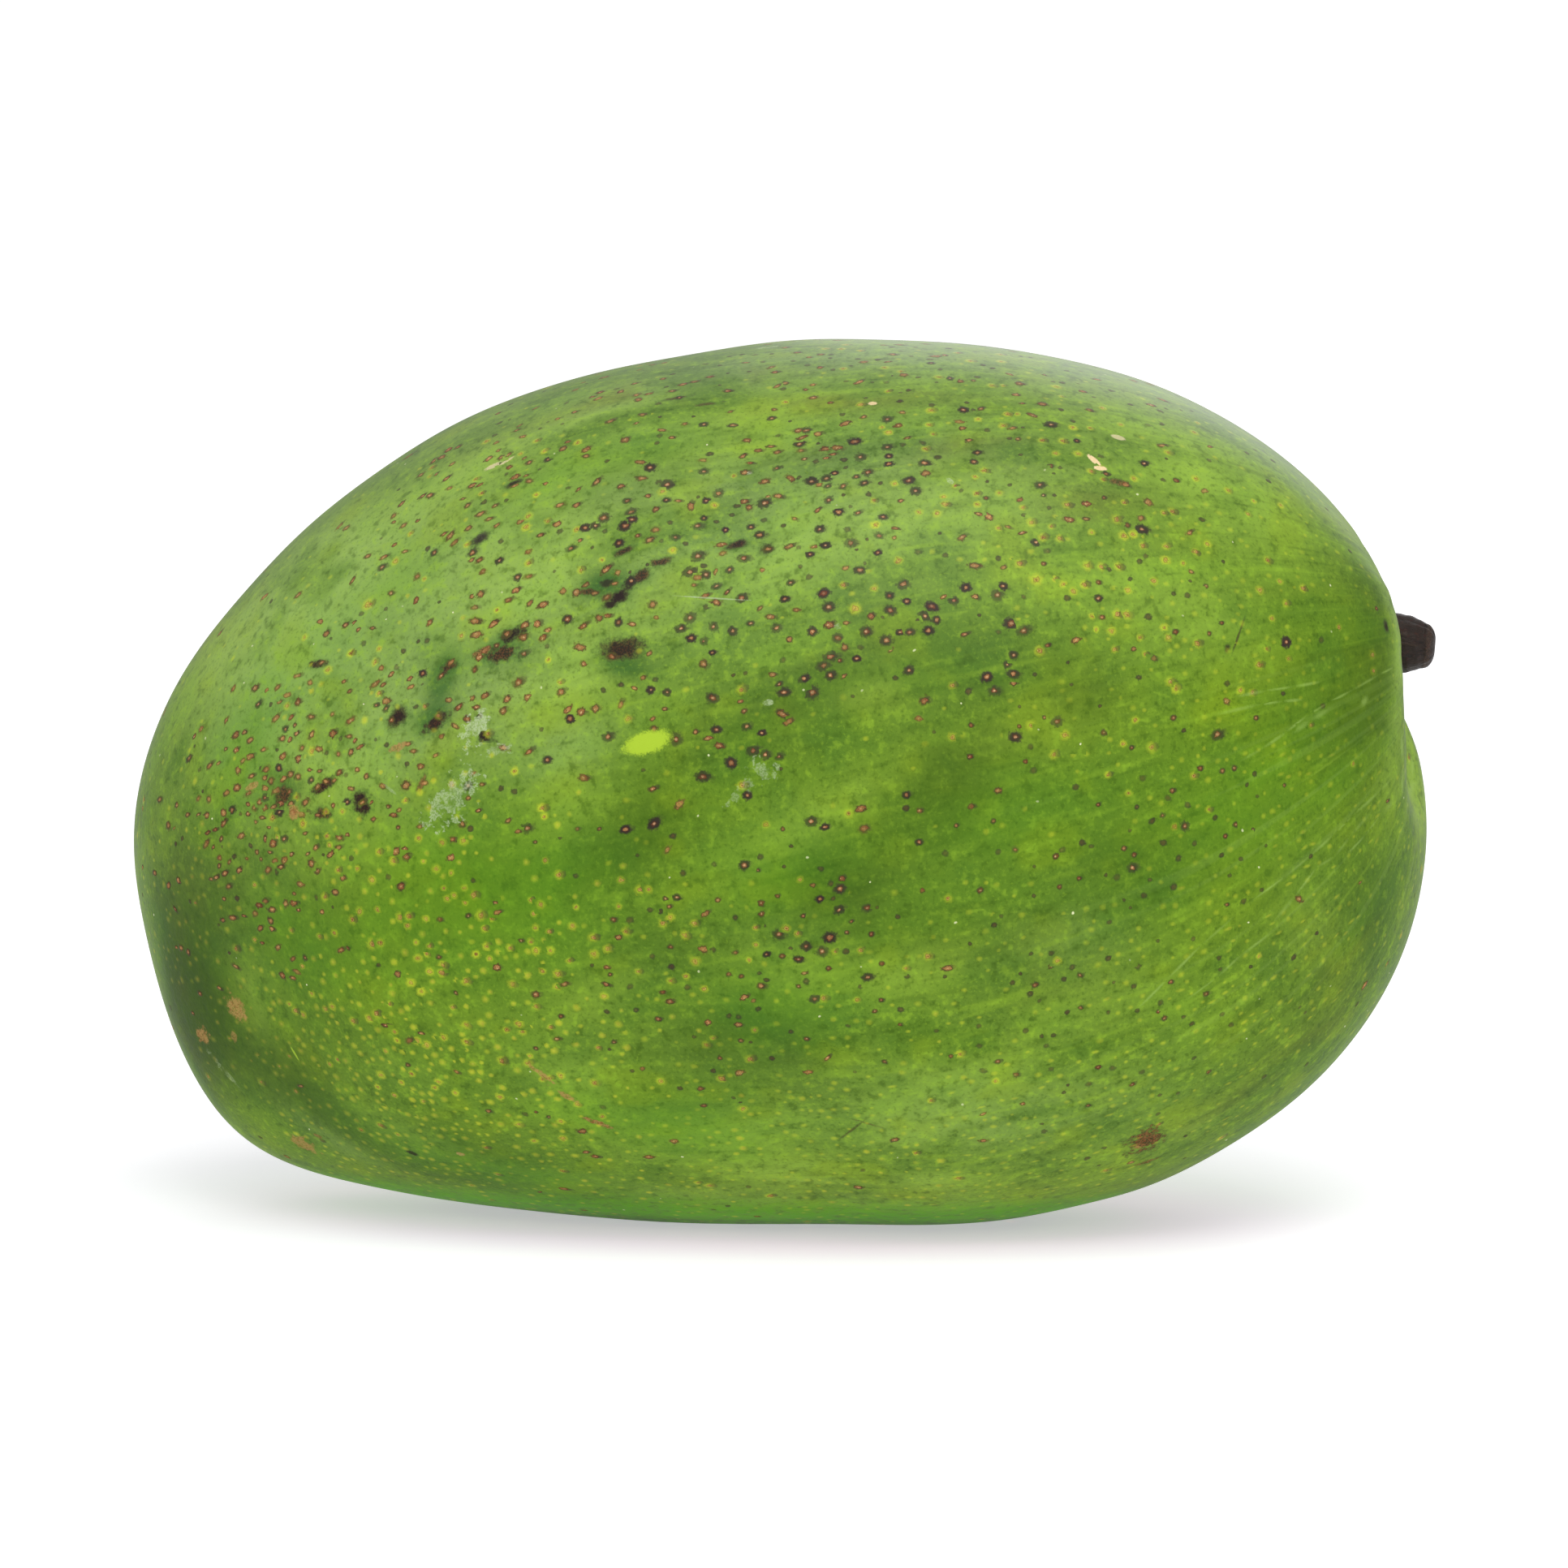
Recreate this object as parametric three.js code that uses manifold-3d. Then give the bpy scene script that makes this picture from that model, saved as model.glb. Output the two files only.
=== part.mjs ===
// An unripe green mango resting on its belly, with the short stub of its stalk.
// X runs along the fruit with the stalk at +X, Z is up, and Y is the depth across the two cheeks.
// Lengths are in millimetres and angles in degrees.
import * as THREE from "three";
import { mergeVertices } from "three/addons/utils/BufferGeometryUtils.js";
import Module from "manifold-3d";

const wasm = await Module();
wasm.setup();

// Side outline in the XZ plane: distances from the middle of the fruit, one every outlineStep round from +X.
const outlineStep = 20;
const outlineRadii = [
  66.0, 65.4, 59.2, 50.7, 45.5, 44.5, 46.6, 50.6, 57.7,
  65.5, 67.1, 61.4, 51.2, 46.1, 45.8, 51.0, 58.5, 65.3,
];
const middleHeight = 44.6; // about 1 less than the outline's own drop, so that the belly ends in a small flat spot
const halfDepth = 41; // from the middle to each cheek
const stalkEndFullness = 0.06; // how much deeper the stalk end is than the mean, as a share

// Swells and hollows on the smooth form. Each has a place on it, given by its angle on the side outline and its
// offset to the far side, a spread and a lift. One with a second angle runs along the outline as a ridge or groove.
const swells = [
  { name: "beak", angle: 213, side: 0, spread: 12, lift: 3.0 },
  { name: "sinus", angle: 203, side: -22, spread: 13, lift: -1.3 },
  { name: "stalk hollow", angle: 12.5, side: 5, spread: 8.5, lift: -3.4 },
  { name: "near shoulder", angle: 15, side: -9, spread: 9.5, lift: 1.8 },
  { name: "far shoulder", angle: -5, side: 10, spread: 12, lift: 0.8 },
  { name: "belly groove", angle: 10, toAngle: -14, side: -2, spread: 4.5, lift: -2 },
];

// The stalk stub, as radii along its own axis from its root in the flesh to its cut end.
const stalkAngle = 13.8; // place on the side outline
const stalkSide = 5; // offset to the far side
const stalkDroop = 7; // below the horizontal
const stalkTurn = 4; // away from the near side
const stalkRoot = 2.6; // length held in the flesh
const stalkReach = 5.8; // length that stands out of the hollow
const stalkCollar = 1.2; // length of the thick base, where the taper starts
const stalkTaperEnd = 4.6; // where the taper is over
const stalkRootRadius = 2.5;
const stalkBaseRadius = 3.1;
const stalkTipRadius = 2.2;
const stalkRim = 0.4; // rounding at the cut end
const stalkSides = 24;
const fitGap = 0.3; // all round the root

const facetRows = 17; // rows of facets along each edge of the starting icosahedron
const gatherShare = 0.3; // how strongly the facets draw together round the stalk
const splinePasses = 40; // enough for the outline to pass through its points
const weldDistance = 1e-3;

const radians = THREE.MathUtils.degToRad;

// A smooth closed curve through equally spaced values, as a function of the angle in degrees.
function closedSpline(values, step) {
  const count = values.length;
  const at = (list, i) => list[(i + count) % count];
  let weights = [...values];
  for (let pass = 0; pass < splinePasses; pass++) {
    weights = values.map((value, i) => (6 * value - at(weights, i - 1) - at(weights, i + 1)) / 4);
  }
  return (angle) => {
    const turns = angle / step;
    const i = Math.floor(turns);
    const t = turns - i;
    const before = (1 - t) ** 3;
    const here = 3 * t ** 3 - 6 * t ** 2 + 4;
    const next = -3 * t ** 3 + 3 * t ** 2 + 3 * t + 1;
    const after = t ** 3;
    const wrapped = ((i % count) + count) % count;
    return (before * at(weights, wrapped - 1) + here * at(weights, wrapped)
      + next * at(weights, wrapped + 1) + after * at(weights, wrapped + 2)) / 6;
  };
}

const outline = closedSpline(outlineRadii, outlineStep);
const fruitMiddle = new THREE.Vector3(0, 0, middleHeight);
const halfLength = outline(0);

// The smooth form without swells: the outline's section shrinks as an ellipse towards each cheek.
function smoothPoint(direction) {
  const angle = THREE.MathUtils.radToDeg(Math.atan2(direction.z, direction.x));
  const x = outline(angle) * direction.x;
  const z = outline(angle) * direction.z;
  const fullness = 1 + stalkEndFullness * (x / halfLength);
  return new THREE.Vector3(x, halfDepth * fullness * direction.y, z);
}

// A place on the smooth form, from its angle on the side outline and its offset in depth.
function placeOn(angle, side) {
  const tilt = Math.asin(side / halfDepth);
  return smoothPoint(new THREE.Vector3(
    Math.cos(tilt) * Math.cos(radians(angle)),
    Math.sin(tilt),
    Math.cos(tilt) * Math.sin(radians(angle)),
  ));
}

// Distance from a point to a swell's place, or to the arc that it runs along.
function distanceTo(swell, point) {
  if (swell.toAngle === undefined) return point.distanceTo(placeOn(swell.angle, swell.side));
  const angle = THREE.MathUtils.radToDeg(Math.atan2(point.z, point.x));
  const low = Math.min(swell.angle, swell.toAngle);
  const high = Math.max(swell.angle, swell.toAngle);
  return point.distanceTo(placeOn(THREE.MathUtils.clamp(angle, low, high), swell.side));
}

// A point of the skin in the fruit's own frame, with the belly pressed flat where it would pass through the floor.
function skinPoint(direction) {
  const point = smoothPoint(direction);
  const outwards = point.clone().normalize();
  let lift = 0;
  for (const swell of swells) lift += swell.lift * Math.exp(-((distanceTo(swell, point) / swell.spread) ** 2));
  point.addScaledVector(outwards, lift).add(fruitMiddle);
  point.z = Math.max(point.z, 0);
  return point;
}

// Draws a direction nearer to the stalk, so that the hollow round it gets the smaller facets.
const stalkDirection = placeOn(stalkAngle, stalkSide).normalize();
function gather(direction) {
  const away = direction.angleTo(stalkDirection);
  const axis = new THREE.Vector3().crossVectors(direction, stalkDirection).normalize();
  return direction.clone().applyAxisAngle(axis, gatherShare * Math.sin(away));
}

function solidOf(geometry) {
  const bare = geometry.clone().deleteAttribute("normal").deleteAttribute("uv");
  const merged = mergeVertices(bare, weldDistance);
  return new wasm.Manifold(new wasm.Mesh({
    numProp: 3,
    vertProperties: merged.attributes.position.array,
    triVerts: new Uint32Array(merged.index.array),
  }));
}

function geometryOf(solid) {
  const mesh = solid.getMesh();
  const geometry = new THREE.BufferGeometry();
  geometry.setAttribute("position", new THREE.BufferAttribute(mesh.vertProperties, 3));
  geometry.setIndex(new THREE.BufferAttribute(mesh.triVerts, 1));
  geometry.computeVertexNormals();
  return geometry;
}

// The stalk's outline turned about its own axis, with the hollow's floor at 0 and a gap to grow by.
function stalkGeometry(grow) {
  const profile = [
    [0, -stalkRoot - grow],
    [stalkRootRadius + grow, -stalkRoot - grow],
    [stalkBaseRadius + grow, 0],
    [stalkBaseRadius + grow, stalkCollar],
    [stalkTipRadius + grow, stalkTaperEnd],
    [stalkTipRadius + grow, stalkReach - stalkRim],
    [stalkTipRadius - stalkRim + grow, stalkReach + grow],
    [0, stalkReach + grow],
  ];
  return new THREE.LatheGeometry(profile.map(([r, s]) => new THREE.Vector2(r, s)), stalkSides);
}

const stalkPlace = skinPoint(stalkDirection);
const stalkPose = new THREE.Matrix4()
  .makeTranslation(stalkPlace.x, stalkPlace.y, stalkPlace.z)
  .multiply(new THREE.Matrix4().makeRotationZ(radians(stalkTurn)))
  .multiply(new THREE.Matrix4().makeRotationY(radians(90 + stalkDroop)))
  .multiply(new THREE.Matrix4().makeRotationX(radians(90)));

function makeFruit() {
  const geometry = new THREE.IcosahedronGeometry(1, facetRows - 1);
  const position = geometry.attributes.position;
  const direction = new THREE.Vector3();
  for (let i = 0; i < position.count; i++) {
    direction.fromBufferAttribute(position, i).normalize();
    const point = skinPoint(gather(direction));
    position.setXYZ(i, point.x, point.y, point.z);
  }
  const socket = solidOf(stalkGeometry(fitGap).applyMatrix4(stalkPose));
  const skin = new THREE.MeshStandardMaterial({ color: 0x6f9a2c, roughness: 0.45, metalness: 0 });
  const fruit = new THREE.Mesh(geometryOf(solidOf(geometry).subtract(socket)), skin);
  fruit.name = "mango_fruit";
  return fruit;
}

function makeStalk() {
  const bark = new THREE.MeshStandardMaterial({ color: 0x2e2620, roughness: 0.8, metalness: 0 });
  const stalk = new THREE.Mesh(stalkGeometry(0), bark);
  stalk.name = "stalk_stub";
  stalk.applyMatrix4(stalkPose);
  return stalk;
}

// The origin is under the middle of the whole, on the surface that the belly rests on.
const mango = new THREE.Group();
mango.add(makeFruit(), makeStalk());
const bounds = new THREE.Box3().setFromObject(mango, true);
const centre = bounds.getCenter(new THREE.Vector3());
mango.position.set(-centre.x, -centre.y, -bounds.min.z);

export default mango;
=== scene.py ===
# An unripe green mango lying on its belly, with the stub of its stalk, on a plain pale floor.
# Lengths in the dictionaries are in millimetres and angles in degrees. Blender's own scene is in metres.
# A place written "at" is a pixel of the 1932 by 1932 picture that the camera takes.
import math

import bpy
import numpy as np
from mathutils import Matrix, Vector
from mathutils.bvhtree import BVHTree
from mathutils.kdtree import KDTree


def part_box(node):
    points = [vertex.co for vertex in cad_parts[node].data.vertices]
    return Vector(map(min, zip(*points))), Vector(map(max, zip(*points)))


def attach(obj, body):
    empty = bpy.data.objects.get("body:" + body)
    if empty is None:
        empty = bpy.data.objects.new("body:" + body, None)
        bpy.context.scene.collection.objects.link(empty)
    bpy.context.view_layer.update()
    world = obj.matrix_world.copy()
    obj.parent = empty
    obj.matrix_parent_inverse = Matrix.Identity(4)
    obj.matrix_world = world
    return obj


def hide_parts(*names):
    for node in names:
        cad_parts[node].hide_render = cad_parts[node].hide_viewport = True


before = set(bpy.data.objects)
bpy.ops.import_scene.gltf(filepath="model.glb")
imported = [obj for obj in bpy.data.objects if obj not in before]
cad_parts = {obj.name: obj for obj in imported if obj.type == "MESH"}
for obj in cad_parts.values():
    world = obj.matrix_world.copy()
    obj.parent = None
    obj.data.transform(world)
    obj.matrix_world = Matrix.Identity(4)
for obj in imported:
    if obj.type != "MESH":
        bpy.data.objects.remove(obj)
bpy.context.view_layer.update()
millimetre = 0.001

# Camera

picture = {
    "azimuth": 8,  # round from straight at the near cheek, towards the stalk end
    "elevation": 6,
    "distance": 900,
    "target": (0.0, 0.0, 45.0),
    "aside": 0.66,  # of the picture's middle from the target
    "below": 0.66,
    "width": 160.1,  # what it takes in at the target's distance
    "pixels": 1932,
    "sensor": 36,
    "farthest": 100,  # metres
}


def addObject(name, data):
    made = bpy.data.objects.new(name, data)
    bpy.context.scene.collection.objects.link(made)
    return made


def unit(vectors):
    return vectors / np.linalg.norm(vectors, axis=-1, keepdims=True)


def pictureAxes():  # the picture's right, its up, the way back to the camera, and the camera's place
    around = math.radians(picture["azimuth"])
    above = math.radians(picture["elevation"])
    level = math.cos(above)
    back = np.array([math.sin(around) * level, -math.cos(around) * level, math.sin(above)])
    right = np.array([math.cos(around), math.sin(around), 0.0])
    up = np.cross(back, right)
    middle = np.array(picture["target"]) + right * picture["aside"] - up * picture["below"]
    return right, up, back, middle + back * picture["distance"]


def pictureRay(pixel):
    right, up, back, eye = pictureAxes()
    step = picture["width"] / picture["pixels"]
    across = (pixel[0] - picture["pixels"] / 2) * step
    down = (pixel[1] - picture["pixels"] / 2) * step
    return eye, unit(right * across - up * down - back * picture["distance"])


def makeCamera():
    right, up, back, eye = pictureAxes()
    data = bpy.data.cameras.new("pictureCamera")
    data.sensor_width = picture["sensor"]
    data.lens = picture["sensor"] * picture["distance"] / picture["width"]
    data.clip_end = picture["farthest"]
    camera = addObject("pictureCamera", data)
    camera.location = Vector(eye * millimetre)
    camera.rotation_euler = Matrix((right, up, back)).transposed().to_euler()
    bpy.context.scene.camera = camera


makeCamera()
print("camera: placed")

# Shader maths


class Wire:  # a socket of a material's nodes, for shader maths as plain expressions
    def __init__(self, tree, socket=None):
        self.tree = tree
        self.socket = socket

    def node(self, kind, settings=None, values=None, output=0):
        made = self.tree.nodes.new(kind)
        for name, value in (settings or {}).items():
            setattr(made, name, value)
        for name, value in (values or {}).items():
            if isinstance(value, Wire):
                self.tree.links.new(value.socket, made.inputs[name])
            else:
                made.inputs[name].default_value = value
        return Wire(self.tree, made.outputs[output])

    def maths(self, operation, first, second=0.0):
        return self.node("ShaderNodeMath", {"operation": operation}, {0: first, 1: second})

    def __add__(self, other):
        return self.maths("ADD", self, other)

    def __radd__(self, other):
        return self.maths("ADD", other, self)

    def __sub__(self, other):
        return self.maths("SUBTRACT", self, other)

    def __rsub__(self, other):
        return self.maths("SUBTRACT", other, self)

    def __mul__(self, other):
        return self.maths("MULTIPLY", self, other)

    def __rmul__(self, other):
        return self.maths("MULTIPLY", other, self)

    def __truediv__(self, other):
        return self.maths("DIVIDE", self, other)

    def highest(self, other):
        return self.maths("MAXIMUM", self, other)

    def lowest(self, other):
        return self.maths("MINIMUM", self, other)

    def fade(self, start, end, low=0.0, high=1.0):  # low before start, high after end, smooth between
        settings = {"interpolation_type": "SMOOTHSTEP"}
        return self.node("ShaderNodeMapRange", settings, {0: self, 1: start, 2: end, 3: low, 4: high})

    def hypotenuse(self, other):
        return self.maths("SQRT", self * self + other * other)

    def scaled(self, factor):  # a vector times a number
        return self.node("ShaderNodeVectorMath", {"operation": "SCALE"}, {0: self, 3: factor})

    def stretched(self, factors):  # a vector times a vector
        return self.node("ShaderNodeVectorMath", {"operation": "MULTIPLY"}, {0: self, 1: factors})

    def length(self):  # of a vector
        return self.node("ShaderNodeVectorMath", {"operation": "LENGTH"}, {0: self}, 1)

    def part(self, index):  # one number of a vector
        return self.node("ShaderNodeSeparateXYZ", None, {0: self}, index)

    def noise(self, scale, detail=2.0, roughness=0.5, distortion=0.0):
        values = {
            "Vector": self,
            "Scale": scale,
            "Detail": detail,
            "Roughness": roughness,
            "Distortion": distortion,
        }
        return self.node("ShaderNodeTexNoise", None, values)

    def attribute(self, name):
        return self.node("ShaderNodeAttribute", {"attribute_name": name}, None, "Vector")

    def colour(self, value):
        made = self.node("ShaderNodeRGB")
        made.socket.default_value = value
        return made

    def blend(self, amount, first, second):  # two colours mixed
        return self.node("ShaderNodeMix", {"data_type": "RGBA"}, {0: amount, 6: first, 7: second}, 2)

    def layered(self, layers, look):  # this colour with others laid over it in turn
        base = self
        for mask, strength, name in layers:
            base = self.blend(mask * strength, base, look[name])
        return base


def paint(red, green, blue):  # a colour as seen on a screen, each part from 0 to 255
    def linear(value):
        share = value / 255
        return share / 12.92 if share <= 0.04045 else ((share + 0.055) / 1.055) ** 2.4

    return (linear(red), linear(green), linear(blue), 1.0)


def newMaterial(name):
    material = bpy.data.materials.new(name)
    material.use_nodes = True
    tree = material.node_tree
    return material, Wire(tree), tree.nodes["Principled BSDF"]


def plug(wire, shader, name):
    wire.tree.links.new(wire.socket, shader.inputs[name])


def plugBump(height, shader):  # its height is in millimetres
    values = {"Strength": 1.0, "Distance": millimetre, "Height": height}
    plug(height.node("ShaderNodeBump", None, values), shader, "Normal")


def objectPlace(wire):  # the place on the piece, in millimetres
    return wire.node("ShaderNodeTexCoord", None, None, "Object").scaled(1 / millimetre)


# The fruit's form: the solid's own formula, with a fuller near shoulder, a softer groove and fine relief

fruitForm = {
    "rows": 128,  # rows of faces along each edge of the cube that the skin is drawn out of
    "outlineStep": 20,
    "outlineRadii": (
        66.0, 65.4, 59.2, 50.7, 45.5, 44.5, 46.6, 50.6, 57.7,
        65.5, 67.1, 61.4, 51.2, 46.1, 45.8, 51.0, 58.5, 65.3,
    ),
    "splinePasses": 40,
    "middleHeight": 44.6,
    "halfDepth": 41,
    "stalkEndFullness": 0.06,
    "stalkAngle": 13.8,
    "stalkSide": 5,
    # name, angle, second angle of a groove, side, spread, lift
    "swells": (
        ("beak", 213, None, 0, 12, 3.0),
        ("sinus", 203, None, -22, 13, -1.3),
        ("stalk hollow", 12.5, None, 5, 8.5, -3.4),
        ("near shoulder", 15, None, -9, 9.5, 2.2),
        ("far shoulder", -5, None, 10, 12, 0.8),
        ("belly groove", 10, 2, -2, 4.5, -2),
    ),
    "unevenness": 0.14,
    "unevenLengths": (19, 26, 31, 38),
    "wavesEach": 3,
    "evenBelow": 3,  # the relief fades out from this height down to the floor
    "pleatHeight": 0.07,  # of the fine folds that run into the stalk hollow
    "pleatCount": 17,
    "pleatStart": 4,  # how far from the stalk's foot they reach their height
    "pleatReach": 13,
    "pleatsBetween": (0.6, 1.62, 1),  # a second set's height, count and turn against the first
    "seed": 4,
}


def outlineReach(angles):
    values = np.array(fruitForm["outlineRadii"], float)
    weights = values.copy()
    for _ in range(fruitForm["splinePasses"]):
        weights = (6 * values - np.roll(weights, 1) - np.roll(weights, -1)) / 4
    turns = np.asarray(angles, float) / fruitForm["outlineStep"]
    whole = np.floor(turns).astype(int)
    t = turns - whole
    shares = ((1 - t) ** 3, 3 * t**3 - 6 * t**2 + 4, -3 * t**3 + 3 * t**2 + 3 * t + 1, t**3)
    return sum(share * weights[(whole + k - 1) % len(values)] for k, share in enumerate(shares)) / 6


def smoothPoints(directions):
    angles = np.degrees(np.arctan2(directions[:, 2], directions[:, 0]))
    reach = outlineReach(angles)
    x = reach * directions[:, 0]
    z = reach * directions[:, 2]
    fullness = 1 + fruitForm["stalkEndFullness"] * x / outlineReach(0)
    return np.column_stack([x, fruitForm["halfDepth"] * fullness * directions[:, 1], z])


def placesOn(angles, side):
    tilt = math.asin(side / fruitForm["halfDepth"])
    turned = np.radians(np.atleast_1d(np.asarray(angles, float)))
    level = math.cos(tilt)
    flat = np.full(len(turned), math.sin(tilt))
    return smoothPoints(np.column_stack([level * np.cos(turned), flat, level * np.sin(turned)]))


def skinPoints(directions):
    points = smoothPoints(directions)
    outwards = unit(points)
    lift = np.zeros(len(points))
    for _, angle, secondAngle, side, spread, height in fruitForm["swells"]:
        angles = angle
        if secondAngle is not None:
            angles = np.degrees(np.arctan2(points[:, 2], points[:, 0]))
            angles = np.clip(angles, min(angle, secondAngle), max(angle, secondAngle))
        away = np.linalg.norm(points - placesOn(angles, side), axis=1)
        lift += height * np.exp(-((away / spread) ** 2))
    points = points + outwards * lift[:, None]
    points[:, 2] = np.maximum(points[:, 2] + fruitForm["middleHeight"], 0)
    return points


stalkDirection = unit(placesOn(fruitForm["stalkAngle"], fruitForm["stalkSide"]))


def grainAxes():  # the stalk's direction from the middle, and two more across it
    along = stalkDirection[0]
    above = unit(np.array([0.0, 0.0, 1.0]) - along[2] * along)
    return along, above, np.cross(along, above)


def grainAngles(directions):  # how far from the stalk, and which way round it, as on a globe round its pole
    along, above, aside = grainAxes()
    away = np.arccos(np.clip(directions @ along, -1, 1))
    return away, np.arctan2(directions @ aside, directions @ above)


def unevenness(points, rng):
    height = np.zeros(len(points))
    for length in fruitForm["unevenLengths"]:
        for _ in range(fruitForm["wavesEach"]):
            wave = unit(rng.normal(size=3)) * 2 * math.pi / length
            height += np.sin(points @ wave + rng.uniform(0, 2 * math.pi))
    return height * fruitForm["unevenness"] / 2


def pleats(points):  # fine folds round the stalk, as where the skin is drawn in
    foot = skinPoints(stalkDirection)[0]
    away = np.linalg.norm(points - foot, axis=1)
    _, around = grainAngles(unit(points - np.array([0, 0, fruitForm["middleHeight"]])))
    fall = np.exp(-((away / fruitForm["pleatReach"]) ** 2)) * np.clip(away / fruitForm["pleatStart"], 0, 1)
    count = fruitForm["pleatCount"]
    share, more, turn = fruitForm["pleatsBetween"]
    wave = np.cos(count * around) + share * np.cos(more * count * around + turn)
    return fruitForm["pleatHeight"] * fall * wave


def clouds(points, size, octaves, seed):  # soft random patches, about 1 in spread round 0
    rng = np.random.default_rng(seed)
    cells = 32
    falling = 1.7  # how much weaker each finer set of patches is
    total = np.zeros(len(points))
    for octave in range(octaves):
        lattice = rng.normal(size=(cells, cells, cells))
        places = points * 2**octave / size + rng.uniform(0, cells, 3)
        whole = np.floor(places).astype(int)
        part = places - whole
        part = part * part * (3 - 2 * part)
        value = np.zeros(len(points))
        for step in np.ndindex(2, 2, 2):
            weight = np.prod(np.where(np.array(step[::-1]) == 1, part, 1 - part), axis=1)
            x, y, z = ((whole + step[::-1]) % cells).T
            value += weight * lattice[x, y, z]
        total += value / falling**octave
    return total / total.std()


def cubeLattice(rows):
    # corners of square faces all over a cube, as whole numbers, with each face's own square of the flat map
    inset = 0.004  # the bare edge round each square of the flat map
    lattice = []
    faces = []
    flat = []
    column, row = np.meshgrid(np.arange(rows + 1), np.arange(rows + 1), indexing="ij")
    for side in range(6):
        axis = side % 3
        far = side < 3
        corner = np.zeros((rows + 1, rows + 1, 3), int)
        corner[..., axis] = rows if far else 0
        corner[..., (axis + 1) % 3] = column
        corner[..., (axis + 2) % 3] = row
        index = np.arange((rows + 1) ** 2).reshape(rows + 1, rows + 1) + side * (rows + 1) ** 2
        ring = [index[:-1, :-1], index[1:, :-1], index[1:, 1:], index[:-1, 1:]]
        if not far:
            ring.reverse()
        across, along = (row, column) if axis == 2 else (column, row)
        shares = np.stack([across, along], -1) / rows * (1 - 2 * inset) + inset
        flat.append((shares + [side % 3, side // 3]) / [3, 2])
        lattice.append(corner.reshape(-1, 3))
        faces.append(np.stack(ring, -1).reshape(-1, 4))
    lattice = np.concatenate(lattice)
    faces = np.concatenate(faces)
    flat = np.concatenate([f.reshape(-1, 2) for f in flat])[faces]
    joined, where = np.unique(lattice, axis=0, return_inverse=True)
    return joined, where.reshape(-1)[faces], flat


def makeMesh(name, points, faces):
    mesh = bpy.data.meshes.new(name)
    mesh.from_pydata([], [], [])
    mesh.vertices.add(len(points))
    mesh.vertices.foreach_set("co", (points * millimetre).astype(np.float32).ravel())
    mesh.loops.add(faces.size)
    mesh.loops.foreach_set("vertex_index", faces.astype(np.int32).ravel())
    mesh.polygons.add(len(faces))
    mesh.polygons.foreach_set("loop_start", np.arange(0, faces.size, faces.shape[1], dtype=np.int32))
    mesh.update(calc_edges=True)
    mesh.validate()
    mesh.shade_smooth()
    return mesh


def storeVectors(mesh, name, domain, values):
    layer = mesh.attributes.new(name, "FLOAT_VECTOR", domain)
    layer.data.foreach_set("vector", np.ascontiguousarray(values, np.float32).ravel())


def fruitPlace():
    # from the formula's own frame to the frame of the whole, by the box of the solid
    low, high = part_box("mango_fruit")
    low = np.array(low) / millimetre
    high = np.array(high) / millimetre
    rows = 60  # enough to find the box
    corners, _, _ = cubeLattice(rows)
    raw = skinPoints(unit(corners / (rows / 2) - 1.0))
    shift = (low + high) / 2 - (raw.min(0) + raw.max(0)) / 2
    shift[2] = low[2]
    return shift


shift = fruitPlace()
corners, faces, flatMap = cubeLattice(fruitForm["rows"])
directions = unit(np.tan((2 * corners / fruitForm["rows"] - 1) * math.pi / 4))
skin = skinPoints(directions)
outward = unit(skin - np.array([0, 0, fruitForm["middleHeight"]]))
relief = unevenness(skin, np.random.default_rng(fruitForm["seed"])) + pleats(skin)
skin = skin + outward * (relief * np.clip(skin[:, 2] / fruitForm["evenBelow"], 0, 1))[:, None]
skin[:, 2] = np.maximum(skin[:, 2], 0)
skin = skin + shift
fruitMesh = makeMesh("mangoSkin", skin, faces)
fruit = addObject("mangoSkin", fruitMesh)
bakeMap = fruitMesh.uv_layers.new(name="OFBake")
bakeMap.data.foreach_set("uv", flatMap.astype(np.float32).ravel())
print("fruit: skin drawn,", len(faces), "faces")

# Places on the skin

skinTree = BVHTree.FromPolygons([tuple(p) for p in skin], [tuple(f) for f in faces])


def placeAt(pixel):  # the skin's point and normal under a pixel of the picture
    start, towards = pictureRay(pixel)
    point, normal, _, _ = skinTree.ray_cast(Vector(start), Vector(towards))
    return np.array(point), np.array(normal)


def acrossPicture(normal, tilt):  # two directions in the skin, the first at a tilt from the picture's right
    right, up, _, _ = pictureAxes()
    turned = right * math.cos(math.radians(tilt)) + up * math.sin(math.radians(tilt))
    first = unit(turned - normal * (turned @ normal))
    return first, np.cross(normal, first)


def alongGrain(normal, tilt):  # the same, turned from the line that runs away from the stalk
    along, _, _ = grainAxes()
    away = -(along - normal * (along @ normal))
    facingStalk = 0.05  # where the line is too short to give a direction
    if np.linalg.norm(away) < facingStalk:
        away = np.cross(normal, [0.0, 0.0, 1.0])
    away = unit(away)
    side = np.cross(normal, away)
    ahead = math.cos(math.radians(tilt))
    aside = math.sin(math.radians(tilt))
    return away * ahead + side * aside, side * ahead - away * aside


def twin(point, rng, stray):  # a like place on the far cheek
    moved = point * np.array([1, -1, 1]) + rng.normal(size=3) * stray
    place, normal, _, _ = skinTree.find_nearest(Vector(moved))
    return np.array(place), np.array(normal)


# Broad tints of the skin, with painted light, shade and sheen among them

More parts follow.
